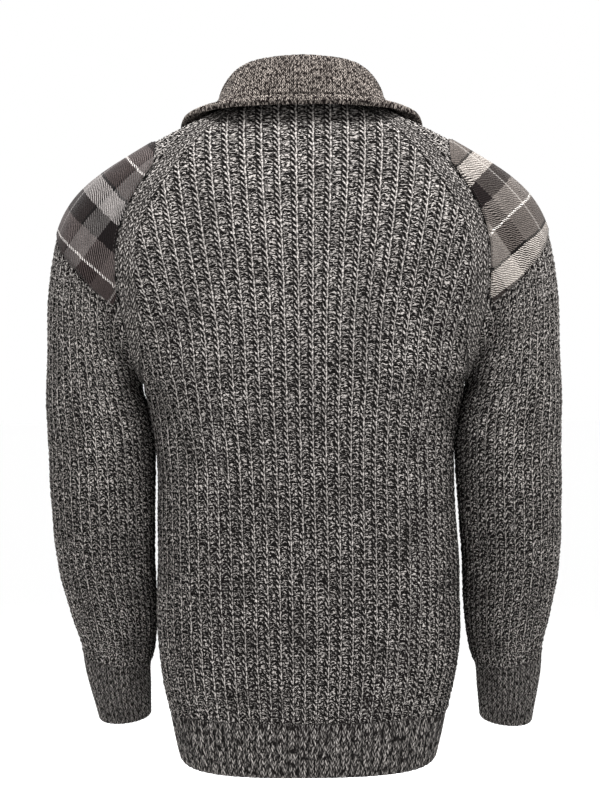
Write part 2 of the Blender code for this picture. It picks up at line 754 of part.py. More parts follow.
def cuff(name, hand, material):
    def loop(count, share, inset, height):
        turn = np.arange(count) / count
        top = CUFF_SEAM_Z
        z = top + (CUFF_EDGE_Z - top) * share + 0 * turn
        points = sleeve_ring(z, turn)
        centre = points.mean(axis=0)
        out = unit(points - centre)
        crest = 0.5 - 0.5 * np.cos(2 * math.pi * turn * SLEEVE_RIBS)
        points = points + out * (crest * height - inset)[:, None]
        above, here = sleeve_ring(np.array([top + NEAR, top]), np.zeros(2))
        up = unit(above - here)
        return hang(points - up * (2 * SEAM_GAP) * (1 - share), hand)

    return band(
        name,
        lambda share: loop(2 * SLEEVE_RIBS, share, 0, BAND_RIB_HEIGHT),
        lambda share: loop(SLEEVE_RIBS // 2, share, WALL, 0),
        (0, 0.3, 0.7, 1),
        material,
    )


def patch_spans():
    """Fine columns of the sleeve head, their lengths, and where the patch starts and ends on each."""
    levels = np.linspace(1, 2, 400)
    columns = np.arange(PATCH_FIRST_RIB, SLEEVE_RIBS - PATCH_FIRST_RIB, 0.1)
    curves = sleeve_columns(columns, levels)
    steps = np.linalg.norm(np.diff(curves, axis=1), axis=-1)
    length = np.concatenate([np.zeros((len(columns), 1)), np.cumsum(steps, axis=1)], axis=1)
    spans = np.zeros((len(columns), 2))
    for i, covered in enumerate(under_patch(curves, columns)):
        inside = np.flatnonzero(covered)
        if len(inside) > 1:
            spans[i] = length[i, inside[0]], min(length[i, inside[-1]], length[i, -1] - PATCH_MARGIN)
    return curves, length, spans


def patch(name, hand, material):
    """A woven patch over the shoulder, made from the sleeve's own points moved out."""
    curves, length, spans = patch_spans()
    way = -normals(curves)
    wide = np.flatnonzero(spans[:, 1] - spans[:, 0] > PATCH_NARROWEST)
    rows = np.linspace(0, 1, PATCH_ROWS)
    base = []
    out = []
    for i in np.round(np.linspace(wide[0], wide[-1], PATCH_COLUMNS)).astype(int):
        at = spans[i, 0] + (spans[i, 1] - spans[i, 0]) * rows
        base.append(along_line(curves[i], length[i], at))
        out.append(along_line(way[i], length[i], at))
    base = np.array(base)
    out = unit(np.array(out))
    lift = RIB_HEIGHT * PATCH_SINKS_RIBS + PATCH_LIFT
    cloth = Cloth()
    cloth.sheet(hang(base + out * (lift + PATCH_THICKNESS), hand), hang(base + out * lift, hand))
    return cloth.build(name, material)


def neck_loop(angle):
    """A point of the neck seam and the level way out from it, by the angle from the centre back."""
    back = torso_point(1, np.array([1e-6]), column_tops(1, np.array([0.0])))[0, 1]
    front = -torso_point(-1, np.array([1e-6]), column_tops(-1, np.array([0.0])))[0, 1]
    depth = np.where(np.cos(angle) > 0, back, front)
    power = np.where(np.cos(angle) > 0, 2 / 2.6, 2 / 2.2)
    x = NECK_SIDE_X * np.sign(np.sin(angle)) * np.abs(np.sin(angle)) ** power
    y = depth * np.sign(np.cos(angle)) * np.abs(np.cos(angle)) ** power
    return np.stack([x, y, neck_z(y)], axis=-1)


def collar(material):
    """A stand that rises from the neck seam, folds over and falls back to a thick rolled edge."""
    angle = np.radians(np.linspace(-COLLAR_END, COLLAR_END, 41))
    seam = neck_loop(angle)
    ahead = neck_loop(angle + 0.02) - neck_loop(angle - 0.02)
    out = unit(np.cross(ahead, np.array([0, 0, 1.0])))
    out *= np.sign((out * seam).sum(-1, keepdims=True))
    size = {k: smooth(COLLAR["angle"], COLLAR[k], np.degrees(np.abs(angle)))[:, None] for k in COLLAR}
    up = np.array([0, 0, 1.0])
    fold = seam + out * size["fold_out"] + up * size["fold_up"]
    edge = seam + out * size["edge_out"] + up * size["edge_up"]
    seam = seam - out * (COLLAR_WALL / 2 + 0.0004)
    inner_bend = fold - out * COLLAR_FOLD - up * COLLAR_FOLD
    outer_bend = fold + out * COLLAR_FOLD - up * COLLAR_FOLD
    middle = (outer_bend + edge) / 2 + (out + up) * 0.0015
    stand = (seam + inner_bend) / 2 - out * 0.002
    knots = np.stack([seam, stand, inner_bend, fold, outer_bend, middle, edge], axis=1)
    steps = np.linalg.norm(np.diff(knots, axis=1), axis=-1).mean(axis=0)
    place_of = np.concatenate([[0], np.cumsum(steps)]) / steps.sum()
    at = COLLAR_PLACES
    middle_line = [[smooth(place_of, row[:, k], at) for k in range(3)] for row in knots]
    middle_line = np.array(middle_line).transpose(0, 2, 1)
    way = normals(middle_line)
    way *= np.sign((way[:, -3:] * out[:, None]).sum(-1).mean())
    thick = COLLAR_WALL / 2 + COLLAR_BEAD * ease((at - 0.86) / 0.08)
    face_points = middle_line + way * thick[None, :, None]
    back_points = middle_line - way * (COLLAR_WALL / 2)
    flat = unit(np.cross(ahead, np.array([0, -NECK_SLOPE, 1.0])))
    flat *= np.sign((flat * out).sum(-1, keepdims=True))
    face_points[:, 0] = onto_neck(seam - flat * COLLAR_WALL / 2, SEAM_GAP)
    back_points[:, 0] = onto_neck(seam + flat * COLLAR_WALL / 2, SEAM_GAP)
    cloth = Cloth()
    cloth.sheet(face_points, back_points)
    return cloth.build("collar", material)


# ---------------------------------------------------------------- zip


def slit_half(z):
    """Half of the slit's width: even up to the slider, then spread towards the neck."""
    return SLIT_HALF + (NECK_SPREAD - SLIT_HALF) * np.maximum(z - SLIDER_Z, 0) / (neck_z(-0.085) - SLIDER_Z)


def slit_face(x, z):
    """The inner face of the front panel beside its centre line, at each x and z."""
    ribs = np.array([0, LINING_STEP / 2])
    lining = np.concatenate([panel_lining(-1, ribs), torso_edge(-1, ribs)[1][:, None]], axis=1)
    centre, beside = (along_line(line, line[:, 2], z) for line in lining)
    share = ((x - centre[:, 0]) / (beside[:, 0] - centre[:, 0]))[:, None]
    return centre * (1 - share) + beside * share


def cutter(name, mesh):
    obj = bpy.data.objects.new(name, mesh)
    bpy.data.collections[CUTTERS].objects.link(obj)
    obj.hide_render = True
    obj.display_type = "WIRE"
    return obj


def cut(obj, other, operation="DIFFERENCE"):
    modifier = obj.modifiers.new(other.name, "BOOLEAN")
    modifier.operation = operation
    modifier.solver = "EXACT"
    modifier.object = other
    return obj


def prism(name, outline, low, high):
    """A solid from an outline in X and Z, run along Y."""
    work = bmesh.new()
    face = work.faces.new([work.verts.new((x, low, z)) for x, z in outline])
    top = bmesh.ops.extrude_face_region(work, geom=[face])["geom"]
    moved = [part for part in top if isinstance(part, bmesh.types.BMVert)]
    bmesh.ops.translate(work, vec=(0, high - low, 0), verts=moved)
    bmesh.ops.recalc_face_normals(work, faces=work.faces[:])
    mesh = bpy.data.meshes.new(name)
    work.to_mesh(mesh)
    work.free()
    return mesh


def slit(panel):
    """Opens the front panel for the zip."""
    top = 0.030
    spread = float(slit_half(np.array(top)))
    outline = [
        (-SLIT_HALF, SLIT_BOTTOM_Z),
        (SLIT_HALF, SLIT_BOTTOM_Z),
        (SLIT_HALF, SLIDER_Z),
        (spread, top),
        (-spread, top),
        (-SLIT_HALF, SLIDER_Z),
    ]
    cut(panel, cutter("slit_cutter", prism("slit_cutter", outline, -0.170, -0.040)))


def zip_tape(name, hand, material):
    """A woven tape behind one edge of the slit, made from the front panel's inner face moved in."""
    mirror = HANG[hand][0]
    z = np.unique(np.concatenate([np.linspace(TAPE_BOTTOM_Z, TAPE_TOP_Z, 12), [SLIDER_Z]]))
    rows = []
    for offset in (-TAPE_INSET, TAPE_OVERLAP):
        line = slit_face(slit_half(z) + offset, z)
        along = np.gradient(line, axis=0)
        inward = unit(np.cross(along, np.array([1.0, 0, 0])))
        inward *= np.sign(inward[:, 1:2])
        rows.append((line + inward * TAPE_BEHIND, line + inward * (TAPE_BEHIND + TAPE_THICKNESS)))
    flip = np.array([mirror, 1, 1])
    cloth = Cloth()
    cloth.sheet(np.stack([rows[0][0], rows[1][0]]) * flip, np.stack([rows[0][1], rows[1][1]]) * flip)
    return cloth.build(name, material)


def zip_frame(z):
    """A frame on the front of the tapes at height z: X across, Y into the cloth, Z up along it."""
    line = slit_face(np.zeros(3), np.array([z - 0.006, z, z + 0.006]))
    up = Vector(line[2] - line[0]).normalized()
    across = Vector((1, 0, 0))
    inward = up.cross(across)
    turn = Matrix((across, inward, up)).transposed().to_4x4()
    start = Vector(line[1]) + inward * TAPE_BEHIND
    return Matrix.Translation((0, start.y, start.z)) @ turn


def block(name, size, centre, frame, bevel=0.0, material=None, taper=1.0):
    """A box placed by a frame, with soft edges. taper narrows its foot."""
    work = bmesh.new()
    bmesh.ops.create_cube(work, size=1)
    for vert in work.verts:
        across = size[0] * (taper if vert.co.z < 0 else 1)
        vert.co = Vector((vert.co.x * across, vert.co.y * size[1], vert.co.z * size[2])) + Vector(centre)
    mesh = bpy.data.meshes.new(name)
    work.to_mesh(mesh)
    work.free()
    obj = place(name, mesh, material) if material else cutter(name, mesh)
    obj.matrix_world = frame
    if bevel:
        soft = obj.modifiers.new("soft_edges", "BEVEL")
        soft.width = bevel
        soft.segments = 1
    return obj


def zip_slider(material):
    """A block in front of the tapes and a plate behind them, joined by a web, with an arch for the pull."""
    frame = zip_frame(SLIDER_Z)
    front = -METAL_GAP - SLIDER_DEPTH
    behind = TAPE_THICKNESS + METAL_GAP
    size = (SLIDER_WIDTH, SLIDER_DEPTH, SLIDER_LENGTH)
    body = block("zip_slider", size, (0, front + SLIDER_DEPTH / 2, 0), frame, 0.0008, material, taper=0.8)
    plate = (SLIDER_WIDTH, SLIDER_BACK, SLIDER_LENGTH * 0.9)
    cut(body, block("slider_plate", plate, (0, behind + SLIDER_BACK / 2, 0), frame), "UNION")
    web = (0.0012, behind + 2 * METAL_GAP + SLIDER_BACK, SLIDER_LENGTH * 0.5)
    cut(body, block("slider_web", web, (0, web[1] / 2 - 2 * METAL_GAP, 0.001), frame), "UNION")
    arch = (ARCH_WIDTH, ARCH_RISE + 0.001, ARCH_LENGTH)
    cut(body, block("slider_arch", arch, (0, front - ARCH_RISE + arch[1] / 2, 0), frame), "UNION")
    hole = (ARCH_WIDTH * 2, ARCH_RISE - ARCH_THICKNESS, ARCH_LENGTH - 2 * ARCH_THICKNESS)
    cut(body, block("slider_hole", hole, (0, front - hole[1] / 2, 0), frame))
    return body


def zip_pull(material):
    """A flat tab whose window goes round the slider's arch. Its origin is on its axis, in its top bar."""
    axis_y = -METAL_GAP - SLIDER_DEPTH - PULL_AXIS_OUT
    frame = zip_frame(SLIDER_Z) @ Matrix.Translation((0, axis_y, PULL_AXIS_UP))
    bar = PULL_THICKNESS / 2
    size = (PULL_WIDTH, PULL_THICKNESS, PULL_LENGTH)
    pull = block("zip_pull", size, (0, 0, bar - PULL_LENGTH / 2), frame, 0.0003, material)
    window = (PULL_WINDOW[0], PULL_THICKNESS * 2, PULL_WINDOW[1])
    cut(pull, block("pull_window", window, (0, 0, -bar - PULL_WINDOW[1] / 2), frame))
    grip = (PULL_WIDTH / 2, PULL_THICKNESS * 2, PULL_LENGTH / 4)
    cut(pull, block("pull_grip", grip, (0, 0, bar - PULL_LENGTH * 0.72), frame))
    return pull


def zip_stop(material):
    frame = zip_frame(STOP_Z)
    return block("zip_stop", STOP_SIZE, (0, -METAL_GAP - STOP_SIZE[1] / 2, 0), frame, 0.0004, material)


# ---------------------------------------------------------------- main


def main():
    for obj in list(bpy.data.objects):
        bpy.data.objects.remove(obj, do_unlink=True)
    for name in (COLLECTION, CUTTERS):
        bpy.context.scene.collection.children.link(bpy.data.collections.new(name))
    wool = finish("marled_wool", (0.17, 0.155, 0.15), 0.95)
    band_wool = finish("band_wool", (0.14, 0.13, 0.12), 0.95)
    collar_wool = finish("collar_wool", (0.20, 0.17, 0.15), 0.95)
    tartan = finish("tartan_wool", (0.25, 0.20, 0.18), 0.9)
    tape = finish("tape_weave", (0.03, 0.03, 0.032), 0.85)
    metal = finish("zip_metal", (0.55, 0.53, 0.50), 0.35, 1.0)
    torso_panel("back_panel", 1, wool)
    torso_panel("front_panel", -1, wool)
    for hand in HANG:
        sleeve(f"sleeve_{hand}", hand, wool)
        cuff(f"cuff_{hand}", hand, band_wool)
        patch(f"shoulder_patch_{hand}", hand, tartan)
        zip_tape(f"zip_tape_{hand}", hand, tape)
    hem_band(band_wool)
    collar(collar_wool)
    slit(bpy.data.objects["front_panel"])
    zip_slider(metal)
    zip_pull(metal)
    zip_stop(metal)


main()
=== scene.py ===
"""Dressed model of a ribbed half-zip raglan pullover with tartan shoulders.

Metres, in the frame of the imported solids: the front faces -Y, the wearer's left is +X and up is +Z.
Every knit wall repeats its solid's surface at the foot of the ribs. Its ribs, stitches and creases
are real relief, and it closes on a plain lining. On the cloth, u counts ribs and v counts stitches.
"""

import math

import bmesh
import bpy
import numpy as np
from bpy.props import FloatProperty, FloatVectorProperty, PointerProperty
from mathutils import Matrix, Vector


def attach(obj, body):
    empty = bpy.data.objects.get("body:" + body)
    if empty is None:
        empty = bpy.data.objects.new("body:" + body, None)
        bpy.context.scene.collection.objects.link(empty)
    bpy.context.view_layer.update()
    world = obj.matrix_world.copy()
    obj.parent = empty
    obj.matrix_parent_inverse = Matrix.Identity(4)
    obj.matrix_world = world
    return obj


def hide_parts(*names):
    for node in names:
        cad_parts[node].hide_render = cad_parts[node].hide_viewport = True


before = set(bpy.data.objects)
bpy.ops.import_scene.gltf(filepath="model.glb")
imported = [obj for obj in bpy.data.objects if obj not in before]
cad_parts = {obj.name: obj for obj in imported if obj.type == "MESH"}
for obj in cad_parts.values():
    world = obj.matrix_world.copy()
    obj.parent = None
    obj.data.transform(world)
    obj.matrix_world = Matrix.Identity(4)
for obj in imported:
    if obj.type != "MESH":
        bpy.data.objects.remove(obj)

bl_info = {
    "name": "Ribbed Half-Zip Pullover",
    "version": (1, 0, 0),
    "blender": (4, 5, 0),
    "location": "View3D > Sidebar > Pullover",
    "description": "Builds the knitted panels, tartan shoulders, collar and zip on the packed solids",
    "category": "Add Mesh",
}

# Cloth
WALL = 0.0030
RIB_HEIGHT = 0.0018
BAND_RIB_HEIGHT = 0.0012
SEAM_GAP = 0.0002  # kept on each side of a seam
TORSO_RIBS = 18  # from the centre line to a side seam
SLEEVE_RIBS = 34

# Levels
HEM_SEAM_Z = -0.636
HEM_EDGE_Z = -0.674
HEM_BACK_DROP = 0.020
WAIST_ROW_Z = -0.310
UNDERARM_Z = -0.275
BICEPS_Z = -0.300
CUFF_SEAM_Z = -0.580
CUFF_EDGE_Z = -0.650

# The neck seam lies in one sloping plane
NECK_Z = 0.003
NECK_SLOPE = 0.32
NECK_SEAM_X = 0.080
NECK_SEAM_Y = 0.046
NECK_SIDE_X = 0.098

SECTION_POWER = 2.4
SECTION_OPENS = 0.060  # height over which a section's sharp side turns into a slope
NECK_STRETCH = 0.32  # ribs are this much wider at the neck than at the underarm
SLEEVE_NECK_RIBS = 6
UNDERARM_HEADING = np.array([-0.30, 0.0, 0.95])  # the way the sleeve's inner side runs up to the underarm
NECK_HEADING = np.array([-0.90, 0.0, 0.44])  # and the way its top runs up to the neck
CAP_LEAN = 0.012
NEAR = 0.012  # how far from a seam the cloth's direction is read
CAP_WEIGHTS = np.exp(-np.linspace(-2, 2, 13) ** 2)
CAP_WEIGHTS = CAP_WEIGHTS / CAP_WEIGHTS.sum()

# Zip: a slit in the front, closed up to the slider and spread open above it
SLIT_BOTTOM_Z = -0.212
SLIT_HALF = 0.0045
SLIDER_Z = -0.094
NECK_SPREAD = 0.016
TAPE_INSET = 0.0035  # the tape's edge lies this far inside the slit's
TAPE_OVERLAP = 0.0090  # and it runs this far behind the panel
TAPE_BEHIND = 0.0008
TAPE_THICKNESS = 0.0012
TAPE_BOTTOM_Z = -0.218
TAPE_TOP_Z = -0.030
SLIT_FACE_RIBS = np.array([0, 2.0])  # the cloth's inner face is read on these ribs and levels
SLIT_FACE_LEVELS = np.array([0, 0.33, 0.66, 1, 1.22, 1.44, 1.66, 1.86])
SLIDER_LENGTH = 0.0125
STOP_Z = -0.206


def table(names, *rows):
    """Columns of a small table by name."""
    return dict(zip(names.split(), np.array(rows, float).T))


# Torso below the underarm, and the depth of its centre line all the way up
TORSO = table(
    "z half_width sway",
    (-0.700, 0.1300, -0.0010),
    (-0.680, 0.1370, -0.0012),
    (-0.655, 0.1450, -0.0015),
    (-0.636, 0.1500, -0.0018),
    (-0.600, 0.1580, -0.0024),
    (-0.550, 0.1640, -0.0030),
    (-0.500, 0.1640, -0.0028),
    (-0.440, 0.1620, -0.0022),
    (-0.390, 0.1605, -0.0014),
    (-0.350, 0.1615, -0.0006),
    (-0.310, 0.1675, 0.0000),
    (-0.275, 0.1760, 0.0000),
)
BACK = table(
    "z depth",
    (-0.700, 0.0960),
    (-0.636, 0.1030),
    (-0.580, 0.1090),
    (-0.500, 0.1140),
    (-0.420, 0.1190),
    (-0.340, 0.1250),
    (-0.260, 0.1300),
    (-0.190, 0.1290),
    (-0.130, 0.1230),
    (-0.080, 0.1130),
    (-0.040, 0.1010),
    (-0.010, 0.0880),
    (0.020, 0.0690),
    (0.040, 0.0560),
)
FRONT = table(
    "z depth",
    (-0.700, 0.0980),
    (-0.636, 0.1050),
    (-0.560, 0.1120),
    (-0.480, 0.1180),
    (-0.400, 0.1230),
    (-0.320, 0.1290),
    (-0.240, 0.1330),
    (-0.170, 0.1310),
    (-0.110, 0.1240),
    (-0.060, 0.1110),
    (-0.020, 0.0900),
    (0.010, 0.0700),
)

# Raglan seams, from the underarm to the neck, where the neck plane gives the height
BACK_SEAM = (
    (-0.275, 0.1760, 0.000),
    (-0.262, 0.1800, 0.031),
    (-0.235, 0.1870, 0.060),
    (-0.200, 0.1930, 0.079),
    (-0.158, 0.1955, 0.090),
    (-0.122, 0.1930, 0.092),
    (-0.092, 0.1830, 0.089),
    (-0.054, 0.1600, 0.081),
    (-0.014, 0.1270, 0.068),
    (0.006, 0.1040, 0.057),
)
FRONT_SEAM = (
    (-0.275, 0.1760, 0.000),
    (-0.262, 0.1790, 0.032),
    (-0.235, 0.1850, 0.062),
    (-0.200, 0.1890, 0.081),
    (-0.158, 0.1890, 0.092),
    (-0.122, 0.1830, 0.095),
    (-0.088, 0.1680, 0.091),
    (-0.055, 0.1430, 0.080),
    (-0.028, 0.1130, 0.064),
)

# Sleeve sections below the underarm: centre, half width across, half depth front to back
SLEEVE = table(
    "z x y half_width half_depth",
    (-0.660, 0.2125, -0.046, 0.0270, 0.0300),
    (-0.638, 0.2143, -0.043, 0.0295, 0.0320),
    (-0.616, 0.2160, -0.040, 0.0325, 0.0345),
    (-0.586, 0.2178, -0.034, 0.0360, 0.0375),
    (-0.561, 0.2153, -0.029, 0.0403, 0.0440),
    (-0.517, 0.2185, -0.020, 0.0475, 0.0520),
    (-0.462, 0.2232, -0.009, 0.0528, 0.0585),
    (-0.407, 0.2232, 0.000, 0.0550, 0.0625),
    (-0.363, 0.2232, 0.004, 0.0555, 0.0645),
    (-0.330, 0.2246, 0.006, 0.0548, 0.0660),
    (-0.300, 0.2280, 0.006, 0.0520, 0.0675),
)
# How each sleeve hangs: +1 is the wearer's left, the cuff swung out and let down
HANG = {"left": (1, -0.010, 0.000), "right": (-1, 0.010, 0.006)}

# Collar, by the angle round the neck from the centre back
COLLAR = table(
    "angle fold_out fold_up edge_out edge_up flare",
    (0, 0.003, 0.045, 0.025, -0.010, 0.0),
    (30, 0.000, 0.040, 0.029, -0.009, 0.2),
    (60, -0.006, 0.026, 0.032, -0.005, 1.0),
    (90, -0.008, 0.015, 0.035, -0.003, 1.0),
    (120, 0.000, 0.015, 0.042, -0.014, 0.5),
    (150, 0.002, 0.014, 0.044, -0.036, 0.0),
    (170, 0.003, 0.012, 0.042, -0.050, 0.0),
)
COLLAR_END = 171
COLLAR_WALL = 0.0032
COLLAR_BEAD = 0.0022  # the rolled edge is thicker than the wall by this much on each face
COLLAR_FOLD = 0.0060

# Patch: an edge that falls from the top of the sleeve towards both raglan seams
PATCH_TOP_X = 0.156
PATCH_LOW_Z = -0.105
PATCH_FALL = 0.0073  # for each rib away from the sleeve's middle
PATCH_SINKS_RIBS = 0.35
PATCH_LIFT = 0.0015
PATCH_THICKNESS = 0.0016
PATCH_MARGIN = 0.004
PATCH_FIRST_RIB = 3
PATCH_NARROWEST = 0.008
PATCH_TURNED = 0.0012  # its cut edge is turned down by this much


# ---------------------------------------------------------------- curves and sections


def smooth(x, y, at):
    """A smooth curve through the rows (x, y) of a table, held at its ends."""
    step = np.diff(x)
    rise = np.diff(y) / step
    slope = np.empty(len(x))
    slope[1:-1] = (step[1:] * rise[:-1] + step[:-1] * rise[1:]) / (step[1:] + step[:-1])
    slope[0] = rise[0]
    slope[-1] = rise[-1]
    i = np.clip(np.searchsorted(x, at) - 1, 0, len(x) - 2)
    t = np.clip((at - x[i]) / step[i], 0, 1)
    twist = t * (1 - t) * ((1 - t) * (slope[i] - rise[i]) - t * (slope[i + 1] - rise[i]))
    return y[i] + t * (y[i + 1] - y[i]) + step[i] * twist


def ease(t):
    """0 to 1 with level ends."""
    t = np.clip(t, 0, 1)
    return t * t * (3 - 2 * t)


def unit(v):
    return v / np.maximum(np.linalg.norm(v, axis=-1, keepdims=True), 1e-12)


def neck_z(y):
    return NECK_Z + NECK_SLOPE * y


def seam_rows(rows, side):
    """A raglan seam's table with its end put on the neck plane. q runs along the seam."""
    end = (neck_z(side * NECK_SEAM_Y), NECK_SEAM_X, NECK_SEAM_Y)
    z, x, y = np.array([*rows, end]).T
    q = np.sqrt((z - UNDERARM_Z) / (z[-1] - UNDERARM_Z))
    return {"q": q, "x": x, "y": y, "top": z[-1]}


SIDES = {1: (BACK, seam_rows(BACK_SEAM, 1)), -1: (FRONT, seam_rows(FRONT_SEAM, -1))}


def seam_xy(side, z):
    seam = SIDES[side][1]
    q = np.sqrt(np.clip((z - UNDERARM_Z) / (seam["top"] - UNDERARM_Z), 0, 1))
    return smooth(seam["q"], seam["x"], q), smooth(seam["q"], seam["y"], q)


def half_section(side, z):
    """Half of the torso's level section at each z, from the centre line out, and its lengths."""
    depth = smooth(SIDES[side][0]["z"], SIDES[side][0]["depth"], z)
    above = z > UNDERARM_Z
    edge_x, edge_y = seam_xy(side, z)
    edge_x = np.where(above, edge_x, smooth(TORSO["z"], TORSO["half_width"], z))
    edge_y = np.where(above, edge_y, 0.0)
    opens = ease((z - UNDERARM_Z) / SECTION_OPENS)
    power = 2 / SECTION_POWER
    turn = np.linspace(0, math.pi / 2, 120)
    x = edge_x[..., None] * np.sin(turn) ** power
    fall = np.clip(np.cos(turn), 0, 1) ** (power + (2 - power) * opens[..., None])
    y = edge_y[..., None] + (depth - edge_y)[..., None] * fall
    steps = np.hypot(np.diff(x), np.diff(y))
    length = np.concatenate([np.zeros((*z.shape, 1)), np.cumsum(steps, axis=-1)], axis=-1)
    return x, y, length


def at_length(values, length, s):
    """values at the distance s along each curve."""
    i = np.clip((length < s[..., None]).sum(-1) - 1, 0, length.shape[-1] - 2)[..., None]
    low = np.take_along_axis(length, i, -1)[..., 0]
    high = np.take_along_axis(length, i + 1, -1)[..., 0]
    t = np.clip((s - low) / np.maximum(high - low, 1e-12), 0, 1)
    a = np.take_along_axis(values, i, -1)[..., 0]
    b = np.take_along_axis(values, i + 1, -1)[..., 0]
    return a + t * (b - a)


def rib_pitch(z, half_length, underarm_length):
    grown = 1 + NECK_STRETCH * ease((z - UNDERARM_Z) / (-UNDERARM_Z))
    return np.where(z > UNDERARM_Z, underarm_length * grown, half_length) / TORSO_RIBS


def torso_point(side, rib, z, push=0.0, hand=0):
    """The point at height z on rib line number rib, counted from the centre line and pushed aside."""
    x, y, length = half_section(side, z)
    underarm = half_section(side, np.array([UNDERARM_Z]))[2][0, -1]
    pitch = rib_pitch(z, length[..., -1], underarm)
    s = np.minimum(np.abs(rib) * pitch + push, length[..., -1])
    sway = smooth(TORSO["z"], TORSO["sway"], z)
    across = at_length(x, length, s) * (hand or np.sign(rib)) + sway
    return np.stack([across, side * at_length(y, length, s), z], axis=-1)


def seam_ribs(side, z):
    """How many ribs lie between the centre line and the raglan seam at height z."""
    length = half_section(side, z)[2][..., -1]
    underarm = half_section(side, np.array([UNDERARM_Z]))[2][0, -1]
    return length / rib_pitch(z, length, underarm)


def column_tops(side, ribs):
    """The height where each rib line ends, at the raglan seam or at the neck seam."""
    ribs = np.abs(ribs)
    top = SIDES[side][1]["top"]
    z = UNDERARM_Z + (top - UNDERARM_Z) * np.linspace(0, 1, 400) ** 2
    count = np.minimum.accumulate(seam_ribs(side, z))
    ends = np.interp(-ribs, -count, z)
    neck = np.full(len(ribs), top)
    for _ in range(40):
        neck = neck_z(torso_point(side, np.maximum(ribs, 1e-6), neck)[:, 1])
    return np.where(ribs < count[-1], neck, ends)


def torso_columns(side, ribs, levels):
    """Curves up the torso. Levels run from 0 at the hem seam to 1, and to 2 at the upper end."""
    top = column_tops(side, ribs)[:, None]
    low = HEM_SEAM_Z + (WAIST_ROW_Z - HEM_SEAM_Z) * np.minimum(levels, 1)
    z = low + (top - WAIST_ROW_Z) * np.maximum(levels - 1, 0)
    return torso_point(side, np.repeat(ribs[:, None], len(levels), axis=1), z)


def seam_line(side, count=400):
    """The raglan seam of the wearer's left, from the underarm up, and its lengths."""
    top = SIDES[side][1]["top"]
    z = UNDERARM_Z + (top - UNDERARM_Z) * np.linspace(0, 1, count) ** 2
    x, y = seam_xy(side, z)
    line = np.stack([x, side * y, z], axis=-1)
    steps = np.linalg.norm(np.diff(line, axis=0), axis=1)
    return line, np.concatenate([[0], np.cumsum(steps)])


def along_line(line, length, at):
    """Points at the distances at along a line, held at its ends."""
    return np.stack([np.interp(at, length, line[:, k]) for k in range(3)], axis=-1)


def sleeve_ring(z, turn):
    """A sleeve's outer point below the biceps. turn is 0 at the inner side, a quarter at the back."""
    def centre(at):
        return np.stack([smooth(SLEEVE["z"], SLEEVE[k], at) for k in "xy"] + [at], axis=-1)

    up = unit(centre(z + 0.004) - centre(z - 0.004))
    out = unit(np.array([1.0, 0, 0]) - up * up[..., :1])
    back = np.cross(up, out)
    width = smooth(SLEEVE["z"], SLEEVE["half_width"], z)[..., None]
    depth = smooth(SLEEVE["z"], SLEEVE["half_depth"], z)[..., None]
    angle = (2 * math.pi * turn)[..., None]
    return centre(z) - width * np.cos(angle) * out + depth * np.sin(angle) * back


def seam_end(side, share):
    """Points at a share of a raglan seam's length, and the way the sleeve arrives there."""
    line, length = seam_line(side)
    s = np.clip(share, 0, 1) * length[-1]
    here, ahead, behind = (along_line(line, length, at) for at in (s, s + NEAR / 3, s - NEAR / 3))
    x, y, lengths = half_section(side, here[:, 2])
    inner = lengths[:, -1] - NEAR
    across, depth = at_length(x, lengths, inner), at_length(y, lengths, inner)
    inside = np.stack([across, side * depth, here[:, 2]], axis=-1)
    return here, unit(unit(inside - here) + 1.1 * unit(ahead - behind))


def armhole(columns):
    """Where each sleeve column meets the armhole loop, and the direction it arrives in."""
    half = SLEEVE_RIBS / 2
    on_seam = half - SLEEVE_NECK_RIBS / 2
    columns = columns % SLEEVE_RIBS
    from_underarm = np.minimum(columns, SLEEVE_RIBS - columns)
    place = ((half - columns) / (SLEEVE_NECK_RIBS / 2))[:, None]
    y = NECK_SEAM_Y * place
    points = np.concatenate([NECK_SIDE_X - (NECK_SIDE_X - NECK_SEAM_X) * place**2, y, neck_z(y)], axis=1)
    heading = np.zeros_like(points)
    for side in (1, -1):
        seam_points, seam_heading = seam_end(side, from_underarm / on_seam)
        ours = (columns <= half) == (side > 0)
        on_side = ours & (from_underarm < on_seam)
        points[on_side] = seam_points[on_side]
        heading[ours] = seam_heading[ours]
    low = ease(from_underarm / 4.0)[:, None]
    high = ease((from_underarm - on_seam + 5) / 5.0)[:, None]
    heading = (1 - low) * unit(UNDERARM_HEADING) + low * heading
    return points, unit((1 - high) * heading + high * unit(NECK_HEADING))


def cap_controls(columns):
    """The two middle control points of each curve over the sleeve head."""
    turn = columns / SLEEVE_RIBS
    level = np.full(len(turn), BICEPS_Z)
    first = sleeve_ring(level, turn)
    rise = unit(first - sleeve_ring(level - 0.01, turn))
    last, heading = armhole(columns)
    reach = np.linalg.norm(last - first, axis=1, keepdims=True)
    top = (0.5 - 0.5 * np.cos(2 * math.pi * turn))[:, None] ** 2
    second = first + rise * reach * (0.34 + 0.37 * top) - top * [CAP_LEAN, 0, 0]
    return second, last - heading * reach * (0.34 + 0.21 * top)


